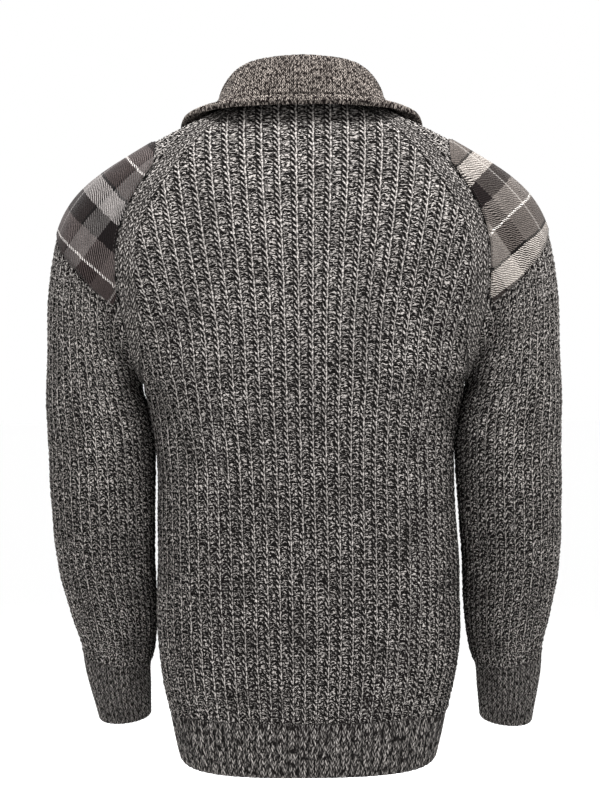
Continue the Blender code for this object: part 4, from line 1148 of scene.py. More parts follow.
def torso_half(wall, side, hand):
    """One half of the front or the back, from the centre line to the side seam."""
    stitch = knit().stitch
    ribs = np.arange(0, TORSO_RIBS * RIB_CELLS + 1) / RIB_CELLS
    levels = np.concatenate([np.linspace(0, 1, 60)[:-1], np.linspace(1, 2, 110)])
    curves = half_curves(side, hand, ribs, levels)
    ways = outward(curves)
    length = lengths_along(curves)
    ends = length[:, -1].copy()

    s, width, band, band_places = fashioning(side)
    flip = np.array([hand, 1, 1])
    band = band * flip
    line, seam_length = seam_line(side)
    line = line[::3] * flip
    seam_length = seam_length[::3]
    trimmed = np.zeros(len(ribs), bool)
    reach = np.interp(seam_length, s, width) - 0.0010
    for i, curve in enumerate(curves):
        if ribs[i] < 2:
            continue
        away = np.linalg.norm(curve[:, None] - line[None], axis=-1)
        nearest = away.argmin(axis=1)
        spare = away[np.arange(len(curve)), nearest] - reach[nearest]
        inside = np.flatnonzero(spare < 0)
        if len(inside) and inside[0] > 0:
            k = inside[0]
            share = spare[k - 1] / (spare[k - 1] - spare[k])
            ends[i] = length[i, k - 1] + share * (length[i, k] - length[i, k - 1])
            trimmed[i] = True
    first = np.flatnonzero(trimmed)[0]
    trimmed[first:] = True

    points, out, at, held, last = courses(curves, ways, ends, stitch / ROWS_PER_STITCH)
    u = np.broadcast_to((-side * hand * ribs)[:, None], at.shape)
    v = at / stitch
    left = ends[:, None] - at
    fade = ease(left / 0.010) * 0.7 + 0.3
    relief = rib_relief(u, v, knit().leg_height) * fade
    relief[~trimmed] = (rib_relief(u, v, knit().leg_height) * ease(left / 0.006 + 0.3))[~trimmed]
    outer = creased(points, out, TORSO_FOLDS[side]) + out * relief[..., None]
    outer[-1, :, 1] = 0.0
    outer[-1, :, 0] = (points + out * 0.0006)[-1, :, 0]
    outer[:, 0, 2] = HEM_SEAM_Z + SEAM_GAP
    outer[0, :, 0] = points[0, :, 0]
    top = ~trimmed
    outer[top, last[top], 2] = neck_z(outer[top, last[top], 1]) - SEAM_GAP
    face = held_grid(wall.add(outer, np.stack([u, v], axis=-1)), held)
    wall.quads(face)
    seam = wall.add(band, band_places)
    seam[0] = seam[0, 0]
    wall.quads(seam, kind=1)
    wall.bridge([face[first - 1, -1], *face[first:, -1]], list(seam[::-1, -1]))

    # lining
    lining_ribs = np.arange(0, TORSO_RIBS + 0.5, 0.5)
    level = np.concatenate([np.linspace(0, 1, 34)[:-1], np.linspace(1, 1.93, 40)])
    top_z = column_tops(side, np.array([0.0]))[0]
    start_level = 1 + (SLIT_BOTTOM_Z - WAIST_ROW_Z) / (top_z - WAIST_ROW_Z)
    level = np.unique(np.append(level[np.abs(level - start_level) > 0.008], start_level + 0.0005))
    inside = half_curves(side, hand, lining_ribs, level)
    inside = inside - outward(inside) * WALL
    inside[-1, :, 1] = 0.0
    inside[:, 0, 2] = HEM_SEAM_Z + SEAM_GAP
    inside[0, :, 0] = half_curves(side, hand, lining_ribs[:1], level)[0, :, 0]
    inner_u = np.broadcast_to((side * hand * lining_ribs)[:, None] + 0.5, inside.shape[:2])
    lining_length = lengths_along(inside)
    lining = wall.add(inside, np.stack([inner_u, lining_length / stitch], axis=-1))
    wall.quads(lining[:, ::-1])

    # edges: the lining's own edge lies inside the neck and the raglan seam
    z = np.interp(s[::4], seam_line(side)[1], seam_line(side)[0][:, 2])
    points, across, out, _ = seam_frames(side, z)
    rim = (points + across * SEAM_GAP - out * WALL) * flip
    neck_outer = [face[i, -1] for i in range(first)] + list(seam[-1, ::-1])
    neck_ribs = ribs[:first:4]
    neck_points = half_curves(side, hand, neck_ribs, np.array([2.0]))[:, 0]
    away = plane_normals(neck_points)
    neck_rim = onto_neck(neck_points - away * WALL, -SEAM_GAP)
    neck_rim[0, 0] = neck_points[0, 0]
    edge_points = np.concatenate([neck_rim, rim[::-1]])
    edge_ribs = np.concatenate([neck_ribs, seam_ribs(side, z)[::-1]])
    edge_v = np.interp(edge_ribs, lining_ribs, lining_length[:, -1]) / stitch + 1
    edge = wall.add(edge_points, np.stack([side * hand * edge_ribs + 0.5, edge_v], axis=-1))
    corner = len(neck_rim)
    wall.bridge(list(lining[:, -1]), list(edge))
    wall.bridge(neck_outer, list(edge[: corner + 1]))
    wall.bridge(list(seam[::-1, 0]), list(edge[corner:]))
    wall.bridge(list(face[:, 0]), list(lining[:, 0]))
    wall.bridge([*face[-1, : last[-1] + 1], seam[0, 0]], [*lining[-1], edge[-1]])
    if side < 0:
        rows = np.flatnonzero(outer[0, :, 2] > SLIT_BOTTOM_Z)
        low_row = max(rows[0] - 1, 0)
        low_level = int(np.searchsorted(level, start_level))
        wall.bridge(list(face[0, low_row : last[0] + 1]), [*lining[0, low_level - 1 :], edge[0]])


def torso_wall(name, side, materials):
    wall = Wall()
    for hand in (1, -1):
        torso_half(wall, side, hand)
    return wall.build(name, materials, weld=0.00002)


# ---------------------------------------------------------------- sleeves


SLEEVE_CELLS = 7
SLEEVE_FOLDS = (
    ((0.168, 0.000, -0.285), (0.168, 0.000, -0.370), 0.022, -0.0030),
    ((0.185, 0.020, -0.330), (0.240, 0.075, -0.375), 0.014, 0.0035),
    ((0.180, -0.010, -0.420), (0.225, 0.055, -0.455), 0.013, 0.0032),
    ((0.185, -0.020, -0.500), (0.235, 0.020, -0.520), 0.012, 0.0026),
    ((0.270, 0.020, -0.360), (0.225, 0.080, -0.335), 0.016, 0.0024),
    ((0.270, 0.000, -0.470), (0.235, 0.055, -0.440), 0.016, 0.0024),
    ((0.200, -0.070, -0.460), (0.255, -0.060, -0.430), 0.013, 0.0032),
    ((0.190, -0.070, -0.350), (0.245, -0.065, -0.390), 0.014, 0.0032),
    ((0.250, -0.060, -0.550), (0.200, -0.070, -0.570), 0.010, 0.0022),
)


def sleeve_wall(name, hand, materials):
    stitch = knit().stitch
    columns = np.arange(0, SLEEVE_RIBS * SLEEVE_CELLS) / SLEEVE_CELLS
    levels = np.concatenate([np.linspace(0, 1, 60)[:-1], np.linspace(1, 2, 80)])
    curves = sleeve_columns(columns, levels)
    ways = -normals(curves, closed=True)
    ways[:, -1] = ways[:, -2]
    length = lengths_along(curves)
    ends = length[:, -1] - 0.0015
    points, out, at, held, _ = courses(curves, ways, ends, stitch / ROWS_PER_STITCH)
    u = np.broadcast_to((-columns)[:, None], at.shape)
    v = at / stitch
    left = ends[:, None] - at
    covered = np.where(under_patch(points, columns, -0.003), 0.15, 1.0)
    fade = (ease(left / 0.012) * 0.75 + 0.25) * ease(at / 0.004 + 0.5)
    relief = rib_relief(u, v, knit().leg_height) * fade * covered
    outer = creased(points, out, SLEEVE_FOLDS) + out * relief[..., None]
    wall = Wall()
    face = held_grid(wall.add(hang(outer, hand), np.stack([u, v], axis=-1)), held)
    wall.quads(face, wrap=-SLEEVE_RIBS)

    lining_columns = np.arange(0, SLEEVE_RIBS, 0.5)
    lining_levels = np.concatenate([np.linspace(0, 1, 34)[:-1], np.linspace(1, 1.93, 32)])
    inside = sleeve_columns(lining_columns, lining_levels)
    inside = inside + normals(inside, closed=True) * WALL
    inner_v = lengths_along(inside) / stitch
    inner_u = np.broadcast_to((lining_columns + 0.5)[:, None], inner_v.shape)
    lining = wall.add(hang(inside, hand), np.stack([inner_u, inner_v], axis=-1))
    wall.quads(lining[:, ::-1], wrap=SLEEVE_RIBS)

    loop_outer, loop_inner, loop_columns = armhole_loop()
    top = np.interp(loop_columns, columns, ends / stitch)
    rim = wall.add(hang(loop_outer, hand), np.stack([-loop_columns, top], axis=-1))
    top = np.interp(loop_columns, lining_columns, inner_v[:, -1]) + 1
    edge = wall.add(hang(loop_inner, hand), np.stack([loop_columns + 0.5, top], axis=-1))
    wall.bridge([*face[:, -1], face[0, -1]], [*rim[:-1], rim[0]])
    wall.bridge([*lining[:, -1], lining[0, -1]], [*edge[:-1], edge[0]])
    wall.quads(np.stack([[*rim[:-1], rim[0]], [*edge[:-1], edge[0]]], axis=1))
    wall.bridge([*face[:, 0], face[0, 0]], [*lining[:, 0], lining[0, 0]])
    return wall.build(name, materials)


def armhole_loop():
    """The sleeve's edge all round: its outer and inner points and their columns."""
    parts = []
    for side in (1, -1):
        top = SIDES[side][1]["top"]
        z = UNDERARM_Z + (top - UNDERARM_Z) * np.linspace(0, 1, 110) ** 1.5
        points, across, out, column = seam_frames(side, z)
        outer = points - across * SEAM_GAP
        parts.append((outer, outer - out * WALL, column))
    neck = SLEEVE_RIBS / 2 + SLEEVE_NECK_RIBS / 2 * np.linspace(-1, 1, 41)
    arc = armhole(neck)[0]
    arc[[0, -1], 0] += SEAM_GAP
    away = plane_normals(arc)
    neck_part = (onto_neck(arc, -SEAM_GAP), onto_neck(arc - away * WALL, -SEAM_GAP), neck)
    back, front = parts
    front = tuple(values[::-1] for values in front)
    return [np.concatenate(values) for values in zip(back, neck_part, front)]


# ---------------------------------------------------------------- hem and cuffs


HEM_CELLS = 8  # columns of the mesh in one rib
CUFF_CELLS = 6
BAND_STITCH = 0.62  # of the body's stitch


def hem_points(ribs, share, inset, relief=0.0):
    """A loop of the hem at a share of its height. ribs run all round from the left side seam."""
    back = ribs <= 2 * TORSO_RIBS
    numbers = np.where(back, TORSO_RIBS - ribs, ribs - 3 * TORSO_RIBS)
    z = HEM_SEAM_Z + (HEM_EDGE_Z - HEM_SEAM_Z) * share + 0 * ribs
    points = np.where(back[:, None], torso_point(1, numbers, z), torso_point(-1, numbers, z))
    across = np.roll(points, -1, axis=0) - np.roll(points, 1, axis=0)
    out = unit(np.cross(np.array([0, 0, 1.0]), across))
    out *= np.sign((out * points).sum(-1, keepdims=True))
    points = points + out * (relief - inset)[:, None]
    drop = HEM_BACK_DROP * share * ease(0.5 + points[:, 1] / 0.2)
    points[:, 2] -= drop + SEAM_GAP * (1 - share)
    return points


def tube(name, loop, ribs_round, cells, height, stitch, materials):
    """A ribbed tube with a rounded lower edge, from a function that gives its loop at each height share."""
    wall = Wall()
    ribs = np.arange(0, ribs_round * cells) / cells
    rows = int(height / (stitch / ROWS_PER_STITCH))
    share = np.linspace(0, 1, rows + 1)
    v = share * height / stitch
    grid = []
    for one, row in zip(share, v):
        crest = 0.5 - 0.5 * np.cos(2 * math.pi * ribs)
        stitches = vee_relief(-2 * ribs, row + 0 * ribs, knit().leg_height * 0.6)
        rounding = 0.0016 * max(0.0, (one * height - height + 0.003) / 0.003) ** 2
        relief = crest * BAND_RIB_HEIGHT + stitches - 0.0003 - rounding
        grid.append(loop(ribs, one, 0.0, relief))
    outer = np.stack(grid, axis=1)
    face = wall.add(outer, np.stack(np.meshgrid(-2 * ribs, -v, indexing="ij"), axis=-1))
    wall.quads(face, wrap=-2 * ribs_round)
    inner_ribs = np.arange(0, ribs_round, 0.5)
    inner_share = np.linspace(0, 1, 9)
    inside = [loop(inner_ribs, one, WALL - 0.0005 * one, 0.0 * inner_ribs) for one in inner_share]
    inner_places = np.meshgrid(-2 * inner_ribs, inner_share * height / stitch, indexing="ij")
    lining = wall.add(np.stack(inside, axis=1), np.stack(inner_places, axis=-1))
    wall.quads(lining[:, ::-1], wrap=-2 * ribs_round)
    for end in (0, -1):
        wall.bridge([*face[:, end], face[0, end]], [*lining[:, end], lining[0, end]])
    return wall.build(name, materials)


def cuff_points(hand):
    def loop(ribs, share, inset, relief):
        turn = ribs / SLEEVE_RIBS
        z = CUFF_SEAM_Z + (CUFF_EDGE_Z - CUFF_SEAM_Z) * share + 0 * turn
        points = sleeve_ring(z, turn)
        out = unit(points - points.mean(axis=0))
        points = points + out * (relief - inset)[:, None]
        above, here = sleeve_ring(np.array([CUFF_SEAM_Z + NEAR, CUFF_SEAM_Z]), np.zeros(2))
        up = unit(above - here)
        return hang(points - up * (2 * SEAM_GAP) * (1 - share), hand)

    return loop


# ---------------------------------------------------------------- collar


COLLAR_GRID = (361, 79)
COLLAR_COLUMN = 0.0039  # width of one column of its fine knit
COLLAR_STITCH = 0.0036
COLLAR_GROOVE = 0.872  # the seam above the rolled edge, as a share of the way from the neck
COLLAR_ROLL = 0.88  # the rolled edge's own knit starts here


def collar_wall(name, materials):
    """A stand that rises from the neck seam, folds over and falls back to a thick rolled edge."""
    angle = np.radians(np.linspace(-COLLAR_END, COLLAR_END, COLLAR_GRID[0]))
    seam = neck_loop(angle)
    ahead = neck_loop(angle + 0.02) - neck_loop(angle - 0.02)
    out = unit(np.cross(ahead, np.array([0, 0, 1.0])))
    out *= np.sign((out * seam).sum(-1, keepdims=True))
    size = {k: smooth(COLLAR["angle"], COLLAR[k], np.degrees(np.abs(angle)))[:, None] for k in COLLAR}
    up = np.array([0, 0, 1.0])
    fold = seam + out * size["fold_out"] + up * size["fold_up"]
    edge = seam + out * size["edge_out"] + up * size["edge_up"]
    seam = seam - out * (COLLAR_WALL / 2 + 0.0004)
    inner_bend = fold - out * COLLAR_FOLD - up * COLLAR_FOLD
    outer_bend = fold + out * (COLLAR_FOLD - 0.004 * size["flare"]) - up * COLLAR_FOLD
    middle = (outer_bend + edge) / 2 + (out + up) * (0.0015 - 0.0065 * size["flare"])
    stand = (seam + inner_bend) / 2 - out * 0.002
    knots = np.stack([seam, stand, inner_bend, fold, outer_bend, middle, edge], axis=1)
    steps = np.linalg.norm(np.diff(knots, axis=1), axis=-1).mean(axis=0)
    place_of = np.concatenate([[0], np.cumsum(steps)]) / steps.sum()
    at = np.linspace(0, 1, COLLAR_GRID[1])
    line = [[smooth(place_of, row[:, k], at) for k in range(3)] for row in knots]
    line = np.array(line).transpose(0, 2, 1)
    way = normals(line)
    way *= np.sign((way[:, -8:] * out[:, None]).sum(-1).mean())
    bead = 1.6 * COLLAR_BEAD * np.sqrt(np.clip(1 - ((at - 0.940) / 0.062) ** 2, 0, 1))
    bead -= 0.0016 * np.exp(-(((at - COLLAR_GROOVE) / 0.010) ** 2))
    round_edge = np.sqrt(np.clip((1 - at) / 0.02, 0.02, 1))
    thick = (COLLAR_WALL / 2 + bead) * round_edge
    around = np.concatenate([[0], np.cumsum(np.linalg.norm(np.diff(fold, axis=0), axis=1))])
    u = np.broadcast_to((around / COLLAR_COLUMN)[:, None], line.shape[:2])
    v = np.broadcast_to((at * steps.sum() / COLLAR_STITCH)[None], line.shape[:2])
    relief = vee_relief(u, v, 0.0009) - 0.0004
    face_points = line + way * (thick[None] + relief * np.minimum(1, 0.2 + 12 * at)[None])[..., None]
    back_points = line - way * (COLLAR_WALL / 2 * round_edge)[None, :, None]
    flat = unit(np.cross(ahead, np.array([0, -NECK_SLOPE, 1.0])))
    flat *= np.sign((flat * out).sum(-1, keepdims=True))
    face_points[:, 0] = onto_neck(seam - flat * COLLAR_WALL / 2, SEAM_GAP)
    back_points[:, 0] = onto_neck(seam + flat * COLLAR_WALL / 2, SEAM_GAP)
    places = np.stack([u, v], axis=-1)
    wall = Wall()
    wall.sheet(face_points, back_points, places, 2, 3, kind=(at[1:] > COLLAR_ROLL).astype(int))
    return wall.build(name, materials)


# ---------------------------------------------------------------- patches


PATCH_GRID = (109, 89)
FLAT_LAYOUT = (23, 19)  # columns and rows that the flat layout is worked out on


def laid_flat(grid):
    """The cloth's own coordinates for a curved grid, from its least distorted flat layout. The middle
    column runs up the second coordinate."""
    sizes = zip(grid.shape, FLAT_LAYOUT)
    coarse = [np.unique(np.round(np.linspace(0, n - 1, m)).astype(int)) for n, m in sizes]
    p = grid[np.ix_(*coarse)]
    m, n = p.shape[:2]
    index = np.arange(m * n).reshape(m, n)
    a, b, c, d = index[:-1, :-1], index[1:, :-1], index[1:, 1:], index[:-1, 1:]
    triangles = np.concatenate([np.stack(t, axis=-1).reshape(-1, 3) for t in ((a, b, c), (a, c, d))])
    points = p.reshape(-1, 3)
    first = points[triangles[:, 1]] - points[triangles[:, 0]]
    second = points[triangles[:, 2]] - points[triangles[:, 0]]
    x_way = unit(first)
    y_way = unit(np.cross(np.cross(first, second), first))
    flat = np.zeros((len(triangles), 3), complex)
    flat[:, 1] = (first * x_way).sum(-1)
    flat[:, 2] = (second * x_way).sum(-1) + 1j * (second * y_way).sum(-1)
    area = np.abs(flat[:, 1].real * flat[:, 2].imag)
    matrix = np.zeros((len(triangles), m * n), complex)
    rows = np.arange(len(triangles))
    for k in range(3):
        matrix[rows, triangles[:, k]] = (flat[:, k - 1] - flat[:, k - 2]) / np.sqrt(2 * area)
    middle = p[m // 2]
    pins = [index[m // 2, 0], index[m // 2, -1]]
    height = np.linalg.norm(np.diff(middle, axis=0), axis=1).sum()
    free = np.setdiff1d(np.arange(m * n), pins)
    known = -matrix[:, pins] @ np.array([0, 1j * height])
    result = np.zeros(m * n, complex)
    result[pins[1]] = 1j * height
    result[free] = np.linalg.lstsq(matrix[:, free], known, rcond=None)[0]
    result = result.reshape(m, n)
    rows = np.stack([np.interp(np.arange(grid.shape[0]), coarse[0], result[:, k]) for k in range(n)], axis=1)
    fine = np.stack([np.interp(np.arange(grid.shape[1]), coarse[1], row) for row in rows])
    return np.stack([fine.real, fine.imag], axis=-1)


def patch_wall(name, hand, materials):
    """A woven patch over the shoulder, made from the sleeve's own surface moved out."""
    curves, length, spans = patch_spans()
    way = -normals(curves)
    wide = np.flatnonzero(spans[:, 1] - spans[:, 0] > PATCH_NARROWEST)
    rows = np.linspace(0, 1, PATCH_GRID[1])
    base = []
    out = []
    for i in np.round(np.linspace(wide[0], wide[-1], PATCH_GRID[0])).astype(int):
        at = spans[i, 0] + (spans[i, 1] - spans[i, 0]) * rows
        base.append(along_line(curves[i], length[i], at))
        out.append(along_line(way[i], length[i], at))
    base = creased(np.array(base), unit(np.array(out)), SLEEVE_FOLDS)
    out = unit(np.array(out))
    lift = RIB_HEIGHT * PATCH_SINKS_RIBS + PATCH_LIFT
    column, row = np.indices(PATCH_GRID)
    edge = np.minimum.reduce([column, PATCH_GRID[0] - 1 - column, row, PATCH_GRID[1] - 1 - row])
    turned = PATCH_TURNED * ease(1 - edge / 3.0)
    mirror = HANG[hand][0]
    places = laid_flat(base) * [mirror, 1]
    wall = Wall()
    front_points = base + out * (lift + PATCH_THICKNESS - turned)[..., None]
    back_points = base + out * (lift - turned * 0.8)[..., None]
    top, way = hang(front_points, hand), out * [mirror, 1, 1]
    wall.sheet(top, hang(back_points, hand), places)
    ring = [(slice(2, -2), 2), (-3, slice(2, -2)), (slice(-3, 1, -1), -3), (2, slice(-3, 1, -1))]
    edge_line = [np.concatenate([grid[i, j] for i, j in ring]) for grid in (top, way)]
    return wall.build(name, materials), edge_line


TARTAN_SETT = (
    (0.0, "line"),
    (0.022, "mid"),
    (0.255, "deep"),
    (0.480, "pale"),
    (0.700, "black"),
    (0.730, "warm"),
)
# The shades of each shoulder, its turn on the cloth and where the sett starts both ways
TARTAN_LOOKS = {
    "left": (
        {
            "deep": (0.004, 0.0025, 0.0025),
            "warm": (0.027, 0.020, 0.019),
            "pale": (0.16, 0.148, 0.143),
            "line": (0.36, 0.335, 0.32),
            "mid": (0.058, 0.047, 0.045),
            "black": (0.002, 0.0018, 0.002),
        },
        0.10,
        (0.36, 0.94),
    ),
    "right": (
        {
            "deep": (0.007, 0.0045, 0.0045),
            "warm": (0.072, 0.061, 0.055),
            "pale": (0.28, 0.254, 0.232),
            "line": (0.42, 0.395, 0.37),
            "mid": (0.104, 0.091, 0.083),
            "black": (0.002, 0.0016, 0.0016),
        },
        -0.06,
        (0.45, 0.60),
    ),
}


def tartan_finish(name, shades, turn, offset):
    """Brushed twill in a sett of its own, the same both ways and turned on the shoulder."""
    finish = Finish(name, Roughness=0.9, Sheen_Weight=0.03, Sheen_Roughness=0.5, Specular_IOR_Level=0.06)
    x, y = finish.place()
    wobble = finish.noise(finish.vector(x * 25, y * 25), 1.0, 2.0) * 0.004
    a = x * math.cos(turn) + y * math.sin(turn) + wobble
    b = y * math.cos(turn) - x * math.sin(turn) + wobble
    sett = trim().sett
    stops = [(at, shades[name_of], 0) for at, name_of in TARTAN_SETT]
    warp = finish.add("ShaderNodeValToRGB", {"stops": stops}, {0: (a / sett + offset[0]).fract()})
    weft = finish.add("ShaderNodeValToRGB", {"stops": stops}, {0: (b / sett + offset[1]).fract()})
    twill = ((x - y) * 0.7071 / trim().twill).fract()
    ridge = (twill - 0.5).math("ABSOLUTE").step(0.36, 0.14)
    cloth = finish.mix(ridge, warp, weft)
    fuzz = finish.noise(finish.vector(x * 700, y * 700), 1.0, 2.0, 0.7).step(0.3, 0.7)
    soft = finish.noise(finish.vector(x * 60, y * 60, 1.0), 1.0, 2.0, 0.6)
    # Random tone from the fuzz and soft noise, with painted shade in the twill's furrows and a painted
    # highlight on its ridges
    tone_and_furrow_shade = (fuzz * 0.8 + 0.6) * (soft * 0.8 + 0.6) * (ridge * 0.85 + 0.38)
    tone_and_furrow_grey = finish.add("ShaderNodeCombineColor", inputs={0: tone_and_furrow_shade, 1: tone_and_furrow_shade, 2: tone_and_furrow_shade})
    color = finish.mix(1.0, cloth, tone_and_furrow_grey, "MULTIPLY")
    return finish.end(color, None, ridge * 0.7 + fuzz * 0.5, 0.0004)


# ---------------------------------------------------------------- zip


def zip_seam(hand):
    """The line of sewing beside the slit, with its normals."""
    levels = np.linspace(1.31, 1.96, 60)
    curves = half_curves(-1, hand, np.array([0.30, 0.55, 0.80]), levels)
    way = normals(curves)
    way *= np.sign(-way[..., 1:2])
    return curves[1] + way[1] * RIB_HEIGHT, way[1]


def tape_wall(name, hand, materials):
    mirror = HANG[hand][0]
    z = np.unique(np.concatenate([np.linspace(TAPE_BOTTOM_Z, TAPE_TOP_Z, 60), [SLIDER_Z]]))
    rows = []
    for offset in np.linspace(-TAPE_INSET, TAPE_OVERLAP, 7):
        line = slit_face(slit_half(z) + offset, z)
        along = np.gradient(line, axis=0)
        inward = unit(np.cross(along, np.array([1.0, 0, 0])))
        inward *= np.sign(inward[:, 1:2])
        rows.append((line + inward * TAPE_BEHIND, line + inward * (TAPE_BEHIND + TAPE_THICKNESS)))
    flip = np.array([mirror, 1, 1])
    near = np.stack([r[0] for r in rows]) * flip
    far = np.stack([r[1] for r in rows]) * flip
    places = np.stack(np.meshgrid(np.linspace(0, TAPE_INSET + TAPE_OVERLAP, 7), z, indexing="ij"), axis=-1)
    wall = Wall()
    wall.sheet(near, far, places, 1, 1)
    return wall.build(name, materials)


def zip_teeth(name, hand, material):
    """Teeth along the tape's edge: locked below the slider, free above it."""
    mirror = HANG[hand][0]
    work = bmesh.new()
    pitch = trim().tooth_pitch
    count = int((TAPE_TOP_Z - 0.002 - (STOP_Z + 0.004)) / pitch)
    for k in range(count):
        z = STOP_Z + 0.004 + (k + (0.25 if mirror > 0 else 0.75)) * pitch
        if abs(z - SLIDER_Z) < SLIDER_LENGTH / 2 + 0.001:
            continue
        level = np.array([z - 0.001, z, z + 0.001])
        edge = slit_face(slit_half(level) - TAPE_INSET, level)
        up = Vector(edge[2] - edge[0]).normalized()
        side = Vector((1, 0, 0))
        side = (side - up * side.dot(up)).normalized()
        inward = up.cross(side)
        centre = Vector(edge[1]) + inward * (TAPE_BEHIND + TAPE_THICKNESS / 2) - side * 0.0004
        made = bmesh.ops.create_cube(work, size=1)["verts"]
        for vert in made:
            tip = vert.co.x < 0
            across = vert.co.x * 0.0032
            deep = vert.co.y * (0.0019 if tip else 0.0023)
            tall = vert.co.z * (0.0013 if tip else 0.0010)
            spot = centre + side * across + inward * deep + up * tall
            vert.co = Vector((spot.x * mirror, spot.y, spot.z))
        edges = {e for v in made for e in v.link_edges}
        bmesh.ops.recalc_face_normals(work, faces=list({f for e in edges for f in e.link_faces}))
        bmesh.ops.bevel(work, geom=list(edges), offset=0.00022, segments=1, affect="EDGES")
    bmesh.ops.recalc_face_normals(work, faces=work.faces[:])
    mesh = bpy.data.meshes.new(name)
    work.to_mesh(mesh)
    work.free()
    mesh.materials.append(material)
    obj = bpy.data.objects.new(name, mesh)
    bpy.context.scene.collection.objects.link(obj)
    return obj


def metal_finish(name):
    finish = Finish(name, Metallic=1.0, Base_Color=(0.60, 0.57, 0.53, 1))
    spot = finish.add("ShaderNodeTexCoord", out=3)
    wear = finish.noise(spot, 420.0, 3.0, 0.6)
    roughness = wear * 0.22 + 0.24
    color = finish.mix(wear.step(0.35, 0.7), (0.42, 0.39, 0.35), (0.66, 0.63, 0.59))
    return finish.end(color, roughness, wear, 0.00008)


def tape_finish(name):
    finish = Finish(name, Roughness=0.8, Specular_IOR_Level=0.3)
    x, y = finish.place()
    bone = ((x / 0.0011).math("FRACT") - 0.5).math("ABSOLUTE")
    weave = (y / 0.0007 + bone * 1.6).fract()
    ridge = (weave - 0.5).math("ABSOLUTE").step(0.4, 0.1)
    # Painted shade and highlight: the weave's furrows are darker and its ridges paler
    color = finish.mix(ridge, (0.012, 0.012, 0.013), (0.045, 0.044, 0.046))
    return finish.end(color, None, ridge, 0.0002)


# ---------------------------------------------------------------- operators


def declare(obj, node):
    """Hangs a piece under the garment and hides the packed solid that it stands for."""
    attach(obj, "garment")
    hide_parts(node)


class PULLOVER_OT_torso(bpy.types.Operator):
    """Knits the front and the back with their raglan fashioning"""

    bl_idname = "pullover.torso"
    bl_label = "Front and back"

    def execute(self, context):
        light, dark = knit().light_yarn, knit().dark_yarn
        rib = rib_finish("marled_rib_knit", light, dark)
        vee = vee_finish("fashioned_knit", light, dark)
        back = torso_wall("back_knit", 1, [rib, vee])
        declare(back, "back_panel")
        front = torso_wall("front_knit", -1, [rib, vee])
        declare(front, "front_panel")
        return {"FINISHED"}


class PULLOVER_OT_sleeves(bpy.types.Operator):
    """Knits both sleeves from cuff seam to neck"""

    bl_idname = "pullover.sleeves"
    bl_label = "Sleeves"

    def execute(self, context):
        # Painted light: the sleeves take the body's yarn made paler by six parts in a hundred
        rib = rib_finish("marled_sleeve_knit_painted_light", [c * 1.06 for c in knit().light_yarn], knit().dark_yarn)
        for hand in HANG:
            sleeve = sleeve_wall(f"sleeve_knit_{hand}", hand, [rib])
            declare(sleeve, f"sleeve_{hand}")
        return {"FINISHED"}


class PULLOVER_OT_bands(bpy.types.Operator):
    """Knits the hem band and both cuffs in a finer rib"""

    bl_idname = "pullover.bands"
    bl_label = "Hem and cuffs"

    def execute(self, context):
        # Painted shade: the hem and cuffs take the body's yarn darkened by a fifth, and the trough paints
        # shade between their ribs
        light = [c * 0.80 for c in knit().light_yarn]
        fine = vee_finish("band_rib_painted_shade_knit", light, knit().dark_yarn, 0.0006, (2.2, 0.8), 0.2, 0.62)
        height = HEM_SEAM_Z - HEM_EDGE_Z
        stitch = knit().stitch * BAND_STITCH
        hem = tube("hem_knit", hem_points, 4 * TORSO_RIBS, HEM_CELLS, height, stitch, [fine])
        declare(hem, "hem_band")
        height = CUFF_SEAM_Z - CUFF_EDGE_Z
        for hand in HANG:
            loop = cuff_points(hand)
            cuff = tube(f"cuff_knit_{hand}", loop, SLEEVE_RIBS, CUFF_CELLS, height, stitch, [fine])
            declare(cuff, f"cuff_{hand}")
        return {"FINISHED"}


class PULLOVER_OT_collar(bpy.types.Operator):
    """Knits the fold-over collar"""

    bl_idname = "pullover.collar"
    bl_label = "Collar"

    def execute(self, context):
        light, dark = trim().collar_light, trim().collar_dark
        fine = vee_finish("collar_fine_knit", light, dark, 0.0007, (2.1, 0.8), 0.2)
        # Painted light: the rolled edge takes the collar's yarn made paler, to look lit though it lies under
        # the fold
        light = [c * 1.15 for c in light]
        edge = vee_finish("collar_edge_knit_painted_light", light, dark, 0.0009, (1.3, 1.2), 0.15)
        collar = collar_wall("collar_knit", [fine, edge])
        declare(collar, "collar")
        return {"FINISHED"}


class PULLOVER_OT_patches(bpy.types.Operator):
    """Lays a tartan patch over each shoulder"""

    bl_idname = "pullover.patches"
    bl_label = "Shoulder patches"

    def execute(self, context):
        thread = thread_finish("patch_thread")
        for hand, (shades, turn, offset) in TARTAN_LOOKS.items():
            cloth = tartan_finish(f"tartan_twill_{hand}", shades, turn, offset)
            patch, edge = patch_wall(f"shoulder_tartan_{hand}", hand, [cloth])
            seam = sewing(f"patch_sewing_{hand}", [edge], thread)
            declare(
                patch,
                f"shoulder_patch_{hand}",
            )
        return {"FINISHED"}


class PULLOVER_OT_zip(bpy.types.Operator):
    """Sews the zip's tapes and teeth behind the front slit"""

    bl_idname = "pullover.zip"
    bl_label = "Zip"

    def execute(self, context):
        metal = metal_finish("cast_zip_metal")
        weave = tape_finish("zip_tape_weave")
        for node in ("zip_slider", "zip_pull", "zip_stop"):
            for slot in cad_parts[node].material_slots:
                slot.material = metal
        sewing("zip_sewing", [zip_seam(1), zip_seam(-1)], thread_finish("zip_thread"))
        for hand in HANG:
            teeth = zip_teeth(f"zip_teeth_{hand}", hand, metal)
            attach(teeth, "garment")
            tape = tape_wall(f"zip_weave_{hand}", hand, [weave])
            declare(
                tape,
                f"zip_tape_{hand}",
            )
        return {"FINISHED"}


